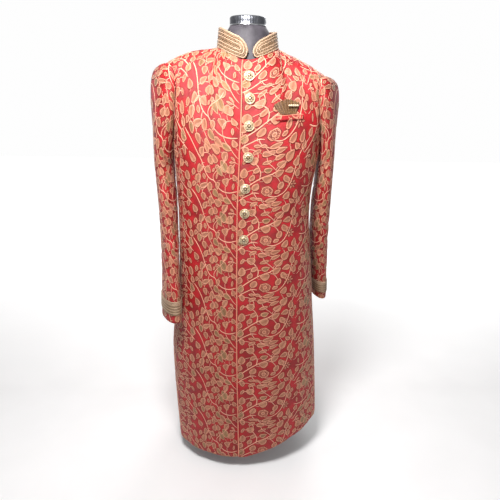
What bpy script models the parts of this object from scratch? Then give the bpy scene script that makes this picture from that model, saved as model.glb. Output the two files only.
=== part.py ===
"""A brocade sherwani coat, worn by a limbless dress form on a round stand.

Metres, +Z up. The coat's front faces -Y and its wearer's left is +X, called side +1 below.
The origin is the middle of the base's underside. Every piece of cloth is a thin closed wall:
its outer face is worked out from the section tables, and its inner face lies one wall inside.
"""
import math

import bmesh
import bpy
import numpy as np

# Cloth and seams
WALL = 0.0020
SEAM = 0.0003
UNDERLAP = 0.030
LAP_DIP = 0.0027
LAP_CLEAR = 0.003
LAPS = (
    # level from the hem to the neckline, how far the left front's edge lies past the middle
    (0.000, 0.0194),
    (0.250, 0.0226),
    (0.450, 0.0245),
    (0.740, 0.0246),
    (0.886, 0.0234),
    (1.000, 0.0203),
    (1.190, 0.0168),
    (1.500, 0.0140),
    (1.780, 0.0132),
    (2.000, 0.0132),
)
DIP_BLEND = 0.014

# Heights of the coat
CHEST = 0.875
HEM_FRONT = 0.040
HEM_BACK = 0.058
HEM_LEFT_SIDE = 0.142
HEM_RIGHT_SIDE = 0.044
HEM_CURVE = 1.0

# The body's sections, from the hem up to the chest line
SECTIONS = (
    # height, right half width, left half width, front depth, back depth, squareness
    (0.000, 0.204, 0.228, 0.183, 0.176, 2.30),
    (0.100, 0.210, 0.224, 0.177, 0.168, 2.30),
    (0.230, 0.214, 0.215, 0.169, 0.160, 2.32),
    (0.360, 0.212, 0.204, 0.159, 0.150, 2.35),
    (0.460, 0.196, 0.193, 0.150, 0.141, 2.40),
    (0.560, 0.186, 0.184, 0.141, 0.132, 2.45),
    (0.650, 0.182, 0.175, 0.132, 0.115, 2.50),
    (0.720, 0.181, 0.169, 0.126, 0.101, 2.50),
    (0.800, 0.183, 0.172, 0.124, 0.103, 2.50),
    (0.875, 0.186, 0.184, 0.121, 0.112, 2.50),
    (0.950, 0.190, 0.188, 0.112, 0.116, 2.50),
)

# The soft folds of the body: a trough has a negative depth
FOLDS = (
    # face, side, share of the girth, top, bottom, depth, half width
    ("front", 1, 0.74, 0.60, 0.04, 0.0050, 0.060),
    ("front", 1, 0.90, 0.52, 0.04, -0.0040, 0.050),
    ("front", 1, 0.42, 0.48, 0.04, -0.0030, 0.080),
    ("front", -1, 0.70, 0.56, 0.04, 0.0045, 0.060),
    ("front", -1, 0.86, 0.60, 0.04, -0.0040, 0.050),
    ("front", -1, 0.36, 0.42, 0.04, -0.0025, 0.080),
    ("back", 1, 0.30, 0.60, 0.04, 0.0060, 0.090),
    ("back", 1, 0.62, 0.56, 0.04, -0.0055, 0.080),
    ("back", 1, 0.86, 0.50, 0.04, 0.0050, 0.060),
    ("back", -1, 0.24, 0.58, 0.04, -0.0050, 0.090),
    ("back", -1, 0.56, 0.62, 0.04, 0.0060, 0.080),
    ("back", -1, 0.82, 0.52, 0.04, -0.0050, 0.060),
)

# The neckline, the shoulder seam and how the cloth runs between the chest line and them
NECK_WIDTH = 0.074
NECK_FRONT_DEPTH = 0.070
NECK_BACK_DEPTH = 0.060
NECK_PIT_HEIGHT = 1.100
NECK_SIDE_HEIGHT = 1.128
NECK_BACK_HEIGHT = 1.126
LEFT_SHOULDER_TIP = (0.206, 0.000, 1.061)
LEFT_SHOULDER_CREST = 0.004
RIGHT_SHOULDER_TIP = (0.212, 0.000, 1.084)
RIGHT_SHOULDER_CREST = 0.010
NECK_SHARE = 0.43
YOKE = (
    # share, rise, top run, top lift, top spread
    (0.00, 0.230, 0.110, 0.200, 0.000),
    (0.43, 0.300, 0.230, 0.110, -0.020),
    (0.72, 0.320, 0.300, 0.015, 0.000),
    (1.00, 0.300, 0.460, 0.010, 0.040),
)
ARMHOLE_CUT = 0.21
# Rough lengths of cloth from the chest line to the shoulder seam, and round a sleeve
YOKE_LENGTH = 0.20
SLEEVE_GIRTH = 0.27

# The sleeves, each with its own hang: the right one forward, the left one back
SLEEVE_TOP = 0.850
SLEEVES = {
    "right": (
        # height, centre out from the middle, centre forward, half width, half depth, turned inwards
        (0.850, 0.2150, 0.000, 0.0230, 0.064, 0.0),
        (0.750, 0.2095, 0.018, 0.0230, 0.061, 5.0),
        (0.650, 0.2060, 0.042, 0.0225, 0.058, 11.0),
        (0.550, 0.2035, 0.070, 0.0215, 0.055, 18.0),
        (0.480, 0.2025, 0.088, 0.0210, 0.053, 23.0),
        (0.454, 0.2025, 0.094, 0.0210, 0.052, 24.0),
    ),
    "left": (
        (0.850, 0.2065, 0.000, 0.0195, 0.064, 0.0),
        (0.750, 0.2040, -0.010, 0.0220, 0.061, -3.0),
        (0.650, 0.2060, -0.024, 0.0220, 0.058, -6.0),
        (0.550, 0.2120, -0.040, 0.0205, 0.055, -9.0),
        (0.480, 0.2175, -0.050, 0.0185, 0.053, -10.0),
        (0.462, 0.2190, -0.052, 0.0180, 0.052, -10.0),
    ),
}
CUFF_RISE = 0.021
CUFF_WIDTH = 0.036
CUFF_ROWS = 5

# The collar and the braid
COLLAR_HEIGHT = 0.043
COLLAR_LEFT_DROP = 0.009
COLLAR_ROWS = 3
COLLAR_WALL = 0.0024
COLLAR_LEAN = 0.14
COLLAR_RIGHT_END = 0.001
COLLAR_LEFT_END = 0.012
COLLAR_TOP_ROUND = 0.028
COLLAR_BASE_ROUND = 0.010
COLLAR_TIP_SHARE = 0.38
BRAID_RISE = 0.0014
BRAID_BACKING = 0.0012

# Buttons, piping and the breast pocket
BUTTONS = (
    # height, distance to the wearer's left of the middle
    (1.0641, 0.0032),
    (1.0153, 0.0050),
    (0.9555, 0.0035),
    (0.8850, 0.0020),
    (0.8109, -0.0042),
    (0.7497, -0.0055),
    (0.6832, -0.0071),
)
BUTTON_RADIUS = 0.0122
PIPING_RADIUS = 0.0016
PIPING_INSET = 0.0014
POCKET_X = 0.098
POCKET_HEIGHT = 0.975
POCKET_WIDTH = 0.066
WELT_WIDTH = 0.011
WELT_WALL = 0.0016
WELT_SLOPE = 0.004
PATCH_LIFT = 0.0014
FAN_PLEATS = 8
FAN_WALL = 0.0010
FAN_PLEAT_DEPTH = 0.0014
FAN_TILT = 0.0004
PEARLS = 5
PEARLS_X = -0.006
PEARLS_UP = 0.019
PEARL_RADIUS = 0.0027

# The dress form and its stand
FORM_BOTTOM = 0.420
FORM_EASE = (
    # height, how far the form lies inside the coat's outer face
    (0.420, 0.0140),
    (0.560, 0.0100),
    (0.720, 0.0080),
    (0.875, 0.0055),
    (1.000, 0.0033),
    (1.140, 0.0030),
)
NECK_RINGS = (
    # height, half width, half depth
    (1.142, 0.0605, 0.0540),
    (1.153, 0.0575, 0.0510),
    (1.165, 0.0500, 0.0455),
    (1.175, 0.0435, 0.0415),
)
CAP_HEIGHT = 0.021
BASE_RADIUS = 0.102
BASE_HEIGHT = 0.014
POLE_RADIUS = 0.016

# How finely the pieces are divided
HEM_ROWS = 13
YOKE_ROWS = 10
NECK_COLUMNS = 6
BACK_NECK_COLUMNS = 4
SIDE_COLUMNS = 7
SLEEVE_AROUND = 20
UNDER_SPANS = 6
HEAD_ROWS = 7
ARM_ROWS = 9
SHARP_ANGLE = 40.0


def clear_scene():
    for item in list(bpy.data.objects):
        bpy.data.objects.remove(item, do_unlink=True)


def material(name, colour, roughness, metallic=0.0):
    """A plain Principled material."""
    made = bpy.data.materials.new(name)
    made.use_nodes = True
    shader = made.node_tree.nodes["Principled BSDF"]
    shader.inputs["Base Color"].default_value = (*colour, 1.0)
    shader.inputs["Roughness"].default_value = roughness
    shader.inputs["Metallic"].default_value = metallic
    made.diffuse_color = (*colour, 1.0)
    return made


def solid(name, points, faces, finish):
    """One closed body from points and faces, with its faces turned outwards and shaded smooth."""
    mesh = bpy.data.meshes.new(name)
    mesh.from_pydata([tuple(map(float, point)) for point in points], [], faces)
    work = bmesh.new()
    work.from_mesh(mesh)
    bmesh.ops.recalc_face_normals(work, faces=work.faces)
    if work.calc_volume(signed=True) < 0:
        bmesh.ops.reverse_faces(work, faces=work.faces)
    work.to_mesh(mesh)
    work.free()
    mesh.shade_smooth()
    mesh.set_sharp_from_angle(angle=math.radians(SHARP_ANGLE))
    mesh.materials.append(finish)
    made = bpy.data.objects.new(name, mesh)
    bpy.context.scene.collection.objects.link(made)
    return made


def unit(vector):
    vector = np.asarray(vector, float)
    return vector / np.linalg.norm(vector)


def smooth_step(value):
    value = min(max(value, 0.0), 1.0)
    return value * value * (3.0 - 2.0 * value)


def read_table(table, key, level_start=False):
    """The table's other columns at a value of its first one, on a smooth curve through its rows."""
    rows = np.array(table, float)
    keys = rows[:, 0]
    if keys[0] > keys[-1]:
        rows = rows[::-1]
        keys = rows[:, 0]
    slopes = np.gradient(rows[:, 1:], keys, axis=0)
    if level_start:
        slopes[0] = 0.0
    index = int(np.clip(np.searchsorted(keys, key) - 1, 0, len(keys) - 2))
    span = keys[index + 1] - keys[index]
    t = (min(max(key, keys[0]), keys[-1]) - keys[index]) / span
    return hermite(rows[index, 1:], slopes[index] * span, rows[index + 1, 1:], slopes[index + 1] * span, t)


def hermite(start, leave, end, arrive, t):
    """A cubic from start to end, with the given directions at its ends."""
    return (
        (2 * t**3 - 3 * t**2 + 1) * start
        + (t**3 - 2 * t**2 + t) * leave
        + (3 * t**2 - 2 * t**3) * end
        + (t**3 - t**2) * arrive
    )


def quarter_arc(width, depth, square):
    """Points along a rounded quarter section, from its middle to its side, with the length so far."""
    angle = np.linspace(0.0, math.pi / 2, 120)
    across = width * np.sin(angle) ** (2 / square)
    out = depth * np.cos(angle) ** (2 / square)
    steps = np.hypot(np.diff(across), np.diff(out))
    return np.concatenate([[0.0], np.cumsum(steps)]), across, out


def girth(face, side, height):
    """The quarter section of one side of the front or back at a height."""
    right, left, front, back, square = read_table(SECTIONS, height)
    return quarter_arc(left if side > 0 else right, front if face == "front" else back, square)


def fold_depth(face, side, share, height):
    total = 0.0
    for fold_face, fold_side, place, top, bottom, depth, half in FOLDS:
        if fold_face == face and fold_side == side:
            down = smooth_step((top - height) / (top - bottom))
            total += depth * down * math.exp(-(((share - place) / half) ** 2))
    return total


def skirt_point(face, side, share, height, folds=True):
    """A point of the body below the chest line; share runs from the middle to the side seam."""
    if share < 0:
        side, share = -side, -share
    length, across, out = girth(face, side, height)
    x = np.interp(share * length[-1], length, across)
    y = np.interp(share * length[-1], length, out)
    if folds:
        # Folds fade out at the side seam, where the front meets the back
        fade = smooth_step((1.0 - share) / 0.08)
        push = fold_depth(face, side, share, height) * fade
        away = unit((x / across[-1] ** 2, y / out[0] ** 2))
        x, y = x + away[0] * push, y + away[1] * push
    return np.array([side * x, -y if face == "front" else y, height])


def top_point(face, side, share):
    """A point of the neckline, or beyond its share of the way, of the shoulder seam."""
    if share <= NECK_SHARE:
        angle = share / NECK_SHARE * math.pi / 2
        middle = NECK_PIT_HEIGHT if face == "front" else NECK_BACK_HEIGHT
        depth = NECK_FRONT_DEPTH if face == "front" else -NECK_BACK_DEPTH
        height = middle + (NECK_SIDE_HEIGHT - middle) * math.sin(angle) ** 1.6
        return np.array([side * NECK_WIDTH * math.sin(angle), -depth * math.cos(angle), height])
    way = (share - NECK_SHARE) / (1 - NECK_SHARE)
    start = np.array([NECK_WIDTH, 0.0, NECK_SIDE_HEIGHT])
    tip = np.array(LEFT_SHOULDER_TIP if side > 0 else RIGHT_SHOULDER_TIP)
    point = start + (tip - start) * way
    crest = LEFT_SHOULDER_CREST if side > 0 else RIGHT_SHOULDER_CREST
    point[2] += crest * math.sin(math.pi * way)
    return point * (side, 1, 1)


def yoke_point(face, side, share, rise):
    """A point of the body above the chest line; rise runs from it to the neckline or shoulder seam."""
    if share < 0:
        side, share = -side, -share
    facing = -1.0 if face == "front" else 1.0
    # The armhole cuts into the side, so the columns crowd together beside it
    cut = ARMHOLE_CUT * max(math.sin(math.pi * min(rise, 1.0) ** 0.85), 0.0) ** 0.75
    share *= 1 - cut * share**1.5
    step = 0.01
    low = skirt_point(face, side, share, CHEST, False)
    slope = (low - skirt_point(face, side, share, CHEST - step, False)) / step
    climb, run, lift, spread = read_table(YOKE, share, True)
    arrive = np.array([side * spread, -facing * run, lift])
    return hermite(low, slope * climb, top_point(face, side, share), arrive, rise)


def body_point(face, side, share, level, folds=True):
    """A point of the coat's outer face. Level is 0 at the hem, 1 at the chest line, 2 at the top."""
    if level > 1:
        return yoke_point(face, side, share, level - 1)
    middle = HEM_FRONT if face == "front" else HEM_BACK
    hem_side = HEM_LEFT_SIDE if (side if share > 0 else -side) > 0 else HEM_RIGHT_SIDE
    hem = middle + (hem_side - middle) * abs(share) ** HEM_CURVE
    return skirt_point(face, side, share, hem + (CHEST - hem) * level, folds)


def body_levels(top_inset=0.0):
    rows = [row / HEM_ROWS for row in range(HEM_ROWS)]
    return rows + [1 + (1 - top_inset) * row / YOKE_ROWS for row in range(YOKE_ROWS + 1)]


def grid_normals(grid, toward):
    """A normal at each point of a grid of points, turned to the side where toward points."""
    down, across = np.gradient(grid, axis=0), np.gradient(grid, axis=1)
    normals = np.cross(across, down)
    normals /= np.linalg.norm(normals, axis=2, keepdims=True)
    turned = np.sum(normals * toward, axis=2, keepdims=True)
    return normals * np.where(turned.sum() < 0, -1.0, 1.0)


def wall_faces(rows, columns, closed=False):
    """Faces of a wall from an outer and an inner grid; a closed one joins its last column to its first."""
    count = rows * columns
    spans = columns if closed else columns - 1
    faces = []
    for row in range(rows - 1):
        for column in range(spans):
            near = row * columns + column
            far = row * columns + (column + 1) % columns
            faces.append((near, far, far + columns, near + columns))
            faces.append((count + near + columns, count + far + columns, count + far, count + near))
    for row in (0, (rows - 1) * columns):
        for column in range(spans):
            near, far = row + column, row + (column + 1) % columns
            faces.append((near, count + near, count + far, far))
    if not closed:
        for row in range(rows - 1):
            for edge in (row * columns, row * columns + columns - 1):
                faces.append((edge, edge + columns, count + edge + columns, count + edge))
    return faces


def wall(name, outer, inner, finish, closed=False):
    rows, columns = outer.shape[:2]
    points = np.concatenate([outer.reshape(-1, 3), inner.reshape(-1, 3)])
    return solid(name, points, wall_faces(rows, columns, closed), finish)


def away_from_middle(grid):
    """Rough outward directions of the body's points."""
    toward = grid * (1.0, 1.0, 0.0)
    toward[..., 2] = 0.3 * np.linalg.norm(toward[..., :2], axis=-1)
    return toward


def seam_normals(normals, top_columns, side_columns):
    """Edge normals laid in the seams' planes, so that walls meet edge to edge with an even gap."""
    for row, column in top_columns:
        normals[row, column] = unit(normals[row, column] * (1, 0, 1))
    for row, column in side_columns:
        normals[row, column] = unit(normals[row, column] * (1, 0, 0.2))
    return normals


def front_shares(side, level):
    """Where a front's columns lie, from its free edge past the middle to the side seam."""
    height = CHEST if level > 1 else body_point("front", side, 1.0, level)[2]
    length = girth("front", side, height)[0][-1]
    lap = float(read_table(LAPS, level)[0])
    if side > 0:
        edges = (-lap, -0.004, 0.012)
    else:
        edges = (-UNDERLAP, -0.005, lap + LAP_CLEAR, lap + LAP_CLEAR + DIP_BLEND)
    inner = [edge / length for edge in edges]
    spans = NECK_COLUMNS + 1 - len(edges)
    inner += [inner[-1] + (NECK_SHARE - inner[-1]) * k / spans for k in range(1, spans)]
    end = 1 - SEAM / 2 / length
    outer = [NECK_SHARE + (end - NECK_SHARE) * k / SIDE_COLUMNS for k in range(SIDE_COLUMNS + 1)]
    return inner + outer, length


def lap_dip(side, share, length, level):
    """How far the right front lies inside the left one, where it runs under it."""
    if side > 0:
        return 0.0
    lap = float(read_table(LAPS, level)[0])
    return LAP_DIP * (1.0 - smooth_step((share * length - lap - LAP_CLEAR) / DIP_BLEND))


def front_grid(side):
    """A front's outer points, with the right front's dip under the left one, and its normals."""
    rows, dips = [], []
    for level in body_levels(SEAM / 2 / YOKE_LENGTH):
        shares, length = front_shares(side, level)
        rows.append([body_point("front", side, share, level) for share in shares])
        dips.append([lap_dip(side, share, length, level) for share in shares])
    grid = np.array(rows)
    normals = grid_normals(grid, away_from_middle(grid))
    last = len(rows) - 1
    side_rows = [(row, grid.shape[1] - 1) for row in range(HEM_ROWS + 1)]
    normals = seam_normals(normals, [(last, c) for c in range(NECK_COLUMNS, grid.shape[1])], side_rows)
    return grid - normals * np.array(dips)[..., None], normals


def back_grid():
    """The back's outer points, from the right side seam to the left one, and its normals."""
    rows = []
    for level in body_levels(SEAM / 2 / YOKE_LENGTH):
        row = []
        for side in (-1, 1):
            height = CHEST if level > 1 else body_point("back", side, 1.0, level)[2]
            end = 1 - SEAM / 2 / girth("back", side, height)[0][-1]
            shares = [NECK_SHARE * k / BACK_NECK_COLUMNS for k in range(BACK_NECK_COLUMNS)]
            shares += [NECK_SHARE + (end - NECK_SHARE) * k / SIDE_COLUMNS for k in range(SIDE_COLUMNS + 1)]
            points = [body_point("back", side, share, level) for share in shares]
            row += points[:0:-1] if side < 0 else points
        rows.append(row)
    grid = np.array(rows)
    normals = grid_normals(grid, away_from_middle(grid))
    last, columns = len(rows) - 1, grid.shape[1]
    tops = [(last, c) for c in range(columns) if abs(c - columns // 2) >= BACK_NECK_COLUMNS]
    sides = [(row, c) for row in range(HEM_ROWS + 1) for c in (0, columns - 1)]
    return grid, seam_normals(normals, tops, sides)


def armhole_point(side, turn):
    """The armhole's outer edge: turn 0 is the underarm, 0.25 the front, 0.5 the shoulder, 0.75 the back."""
    if turn <= 0.5:
        return yoke_point("front", side, 1.0, 2 * turn)
    return yoke_point("back", side, 1.0, 2 - 2 * turn)


def sleeve_ring(which, turn, height):
    """A point of the hanging sleeve at a height: turn runs from its inner side to the front and round."""
    side = 1 if which == "left" else -1
    out, forward, half_width, half_depth, turned_in = read_table(SLEEVES[which], height)
    angle = 2 * math.pi * turn
    across = -half_width * math.copysign(abs(math.cos(angle)) ** 0.9, math.cos(angle))
    ahead = half_depth * math.sin(angle)
    swing = math.radians(turned_in)
    x = out + across * math.cos(swing) - ahead * math.sin(swing)
    y = forward + ahead * math.cos(swing) + across * math.sin(swing)
    return np.array([side * x, -y, height])


def sleeve_point(which, turn, level):
    """A point of the sleeve: level 0 is the armhole, 1 the foot of the sleeve head, 2 the cuff edge."""
    side = 1 if which == "left" else -1
    if level <= 1:
        edge = armhole_point(side, turn % 1.0)
        angle = 2 * math.pi * turn
        up = (1 - math.cos(angle)) / 2
        start = edge + np.array([side * SEAM * 1.5, 0.0, -SEAM * (1 - up)])
        leave = np.array([side * (0.012 + 0.115 * up**2), -0.06 * math.sin(angle), -0.02 + 0.03 * up])
        arrive = np.array([0.0, 0.0, -0.02 - 0.30 * up])
        return hermite(start, leave, sleeve_ring(which, turn, SLEEVE_TOP), arrive, level)
    bottom = SLEEVES[which][-1][0]
    return sleeve_ring(which, turn, SLEEVE_TOP + (bottom - SLEEVE_TOP) * (level - 1))


def sleeve_normal(which, turn, level):
    """The sleeve's outward normal, the same for both of its panels."""
    side = 1 if which == "left" else -1
    step = 0.01
    low, high = max(level - step, 0.0), min(level + step, 2.0)
    around = sleeve_point(which, turn + step, level) - sleeve_point(which, turn - step, level)
    down = sleeve_point(which, turn, high) - sleeve_point(which, turn, low)
    return unit(np.cross(down, around)) * side


def sleeve_grid(which, first, spans, inset):
    """A sleeve panel's outer points between two seams, and its normals."""
    turns = [(first + k) / SLEEVE_AROUND for k in range(spans + 1)]
    turns[0] += inset
    turns[-1] -= inset
    levels = [k / HEAD_ROWS for k in range(HEAD_ROWS)]
    levels += [1 + k / ARM_ROWS for k in range(ARM_ROWS + 1)]
    grid = np.array([[sleeve_point(which, turn, level) for turn in turns] for level in levels])
    normals = np.array([[sleeve_normal(which, turn, level) for turn in turns] for level in levels])
    return grid, normals


def panel_spot(side, x, height):
    """The left or right front's outer point at a given x and height, and its normal."""
    share, level = 0.3, 1.0
    for _ in range(25):
        point = body_point("front", side, share, level)
        step = 0.002
        by_share = (body_point("front", side, share + step, level) - point) / step
        by_level = (body_point("front", side, share, level + step) - point) / step
        change = np.linalg.solve(
            np.array([[by_share[0], by_level[0]], [by_share[2], by_level[2]]]),
            np.array([x - point[0], height - point[2]]),
        )
        share += float(np.clip(change[0], -0.2, 0.2))
        level = float(np.clip(level + np.clip(change[1], -0.3, 0.3), 0.0, 1.98))
    normal = np.cross(by_share * side, by_level)
    return body_point("front", side, share, level), unit(normal)


def add_fronts(finish):
    for name, side in (("front_left", 1), ("front_right", -1)):
        outer, normals = front_grid(side)
        wall(name, outer, outer - normals * WALL, finish)


def add_back(finish):
    outer, normals = back_grid()
    wall("back", outer, outer - normals * WALL, finish)


def add_sleeves(finish):
    """Each sleeve in two panels, with seams in front of and behind the under one."""
    inset = SEAM / 2 / SLEEVE_GIRTH
    half = UNDER_SPANS // 2
    for which in ("left", "right"):
        upper, normals = sleeve_grid(which, half, SLEEVE_AROUND - UNDER_SPANS, inset)
        wall(f"sleeve_{which}_upper", upper, upper - normals * WALL, finish)
        under, normals = sleeve_grid(which, -half, UNDER_SPANS, inset)
        wall(f"sleeve_{which}_under", under, under - normals * WALL, finish)


def braid_heights(rows, samples):
    """How far the braid stands out across its rows, from valley to valley."""
    return [abs(math.sin(math.pi * k / samples)) ** 0.7 for k in range(rows * samples + 1)]


def add_cuffs(finish):
    """Bands of braid round the sleeves, a little above their ends."""
    heights = braid_heights(CUFF_ROWS, 2)
    profile = [(2 * SEAM, 0.0)]
    for step, out in enumerate(heights):
        profile.append((2 * SEAM + BRAID_BACKING + BRAID_RISE * out, step / (len(heights) - 1)))
    profile += [(2 * SEAM, 1.0)]
    loop = len(profile)
    for which in ("left", "right"):
        bottom, top = SLEEVES[which][-1][0], SLEEVE_TOP
        points, faces = [], []
        for k in range(SLEEVE_AROUND):
            for out, share in profile:
                height = bottom + CUFF_RISE + CUFF_WIDTH * share
                level = 1 + (top - height) / (top - bottom)
                turn = k / SLEEVE_AROUND
                points.append(sleeve_point(which, turn, level) + sleeve_normal(which, turn, level) * out)
        count = len(points)
        for k in range(SLEEVE_AROUND):
            for step in range(loop):
                near, far = k * loop + step, k * loop + (step + 1) % loop
                faces.append((near, far, (far + loop) % count, (near + loop) % count))
        solid(f"cuff_band_{which}", points, faces, finish)


def collar_ring(along, up):
    """A point of the collar's outer face: along runs from the front (0) round to the back (1)."""
    side = 1 if along >= 0 else -1
    angle = abs(along) * math.pi
    front = math.cos(angle) > 0
    base = top_point("front" if front else "back", side, NECK_SHARE * (1 - abs(1 - 2 * abs(along))))
    lean = 1 - COLLAR_LEAN * up * (0.5 + 0.5 * math.cos(angle))
    drop = COLLAR_LEFT_DROP * math.sqrt(0.5 + 0.5 * math.cos(angle)) if side > 0 else 0.0
    rise = 2 * SEAM + (COLLAR_HEIGHT - drop) * up
    forward = -0.004 * up * math.cos(angle)
    return np.array([base[0] * lean, base[1] * lean + forward, base[2] + rise])


def collar_outline(half_length):
    """The collar's outline on the flat, as (distance from the back, height share), counterclockwise.

    It is in pairs: the point at one end of the list lies under the point at the other end.
    """
    straight = [(-1 + 2 * k / 40) * (half_length - COLLAR_TOP_ROUND) for k in range(41)]
    bulge = COLLAR_TIP_SHARE
    caps = []
    for step in range(1, 5):
        across, down = math.sin(step / 5 * math.pi / 2), math.cos(step / 5 * math.pi / 2)
        low = (COLLAR_TOP_ROUND - COLLAR_BASE_ROUND * (1 - across), bulge * (1 - down))
        high = (COLLAR_TOP_ROUND * across, bulge + (1 - bulge) * down)
        caps.append((low, high))
    start = half_length - COLLAR_TOP_ROUND
    lower = [(-start - low[0], low[1]) for low, _ in reversed(caps)]
    upper = [(-start - high[0], high[1]) for _, high in reversed(caps)]
    lower += [(s, 0.0) for s in straight]
    upper += [(s, 1.0) for s in straight]
    lower += [(start + low[0], low[1]) for low, _ in caps]
    upper += [(start + high[0], high[1]) for _, high in caps]
    return [(-half_length, bulge)] + lower, upper + [(half_length, bulge)]


def add_collar(finish):
    """The standing collar: three rows of braid follow its outline all the way round."""
    steps = np.linspace(0, 1, 400)
    ring = np.array([collar_ring(s, 0.5) for s in steps])
    length = np.concatenate([[0.0], np.cumsum(np.linalg.norm(np.diff(ring, axis=0), axis=1))])
    reach = length[-1]
    half_length = reach - (COLLAR_RIGHT_END + COLLAR_LEFT_END) / 2
    shift = (COLLAR_RIGHT_END - COLLAR_LEFT_END) / 2
    # The lower list holds the right tip and the upper one the left tip, so that their points pair up
    lower, upper = collar_outline(half_length)
    heights = braid_heights(COLLAR_ROWS, 2)
    loops = len(heights)
    pairs = len(lower)

    def place(distance, up):
        from_back = distance + shift
        along = np.interp(reach - abs(from_back), length, steps)
        return collar_ring(math.copysign(along, from_back), up)

    def normal(distance, up):
        ahead, behind = place(distance + 0.001, up), place(distance - 0.001, up)
        above = place(distance, up + 0.02) - place(distance, up - 0.02)
        found = unit(np.cross(ahead - behind, above))
        return found * (1 if np.dot(found[:2], place(distance, up)[:2]) > 0 else -1)

    points, faces = [], []
    outline = lower + upper[::-1]
    count = len(outline)
    spine = half_length - COLLAR_TOP_ROUND * 0.75
    for loop in range(loops):
        share = 0.94 * loop / (loops - 1)
        for distance, up in outline:
            middle = (min(max(distance, -spine), spine), 0.5)
            at = (distance + (middle[0] - distance) * share, up + (middle[1] - up) * share)
            out = BRAID_RISE * heights[loop]
            points.append(place(*at) + normal(*at) * out)
    for distance, up in outline:
        points.append(place(distance, up) - normal(distance, up) * COLLAR_WALL)
    for loop in range(loops - 1):
        for k in range(count):
            near, far = loop * count + k, loop * count + (k + 1) % count
            faces.append((near, far, far + count, near + count))
    inside = loops * count
    for k in range(count):
        faces.append((k, inside + k, inside + (k + 1) % count, (k + 1) % count))
    for start in ((loops - 1) * count, inside):
        for k in range(pairs - 1):
            faces.append((start + k, start + k + 1, start + count - 2 - k, start + count - 1 - k))
    solid("collar", points, faces, finish)


def add_piping(finish):
    """A cord that lies along the left front's free edge, from the hem to the neckline."""
    points, around = [], 6
    levels = body_levels(0.02)
    levels[0] = 0.002
    for level in levels:
        shares, length = front_shares(1, level)
        share = shares[0] + PIPING_INSET / length
        at = body_point("front", 1, share, level)
        along = body_point("front", 1, share, min(level + 0.01, 2.0))
        along = along - body_point("front", 1, share, level - 0.002)
        across = body_point("front", 1, share + 0.01, level) - at
        normal = unit(np.cross(across, along))
        across = unit(np.cross(along, normal))
        centre = at + normal * (PIPING_RADIUS + SEAM * 1.5)
        for k in range(around):
            angle = 2 * math.pi * (k + 0.5) / around
            points.append(centre + PIPING_RADIUS * (across * math.cos(angle) + normal * math.sin(angle)))
    faces = []
    for row in range(len(levels) - 1):
        for k in range(around):
            near, far = row * around + k, row * around + (k + 1) % around
            faces.append((near, far, far + around, near + around))
    faces.append(tuple(range(around))[::-1])
    faces.append(tuple(range((len(levels) - 1) * around, len(levels) * around)))
    solid("front_piping", points, faces, finish)


def turned(centre, axis, profile, sides):
    """Points and faces of a turned piece: profile rows are (radius, height along the axis)."""
    axis = unit(axis)
    right = unit(np.cross(axis, (0.0, 0.0, 1.0) if abs(axis[2]) < 0.9 else (0.0, 1.0, 0.0)))
    up = np.cross(axis, right)
    points, faces = [], []
    for radius, height in profile:
        for k in range(sides):
            angle = 2 * math.pi * k / sides
            points.append(centre + axis * height + radius * (right * math.cos(angle) + up * math.sin(angle)))
    for row in range(len(profile) - 1):
        for k in range(sides):
            near, far = row * sides + k, row * sides + (k + 1) % sides
            faces.append((near, far, far + sides, near + sides))
    faces.append(tuple(range(sides))[::-1])
    faces.append(tuple(range((len(profile) - 1) * sides, len(profile) * sides)))
    return points, faces


def add_buttons(finish):
    """Seven domed buttons with a raised rim and a boss, on the centre line."""
    radius = BUTTON_RADIUS
    profile = (
        (radius * 0.86, 0.0),
        (radius, 0.0010),
        (radius, 0.0022),
        (radius * 0.90, 0.0032),
        (radius * 0.80, 0.0034),
        (radius * 0.62, 0.0058),
        (radius * 0.36, 0.0074),
        (radius * 0.12, 0.0080),
    )
    for number, (height, across) in enumerate(BUTTONS, 1):
        spot, normal = panel_spot(1, across, height)
        points, faces = turned(spot + normal * 0.0006, normal, profile, 14)
        solid(f"button_{number}", points, faces, finish)


def panel_patch(place_points, lift, thickness):
    """A small wall that lies on the left front: a grid of (x, height, extra lift) moved out from it."""
    outer, inner = [], []
    for row in place_points:
        outer_row, inner_row = [], []
        for x, height, extra in row:
            spot, normal = panel_spot(1, x, height)
            inner_row.append(spot + normal * (lift + extra))
            outer_row.append(spot + normal * (lift + extra + thickness))
        outer.append(outer_row)
        inner.append(inner_row)
    return np.array(outer), np.array(inner)


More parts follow.
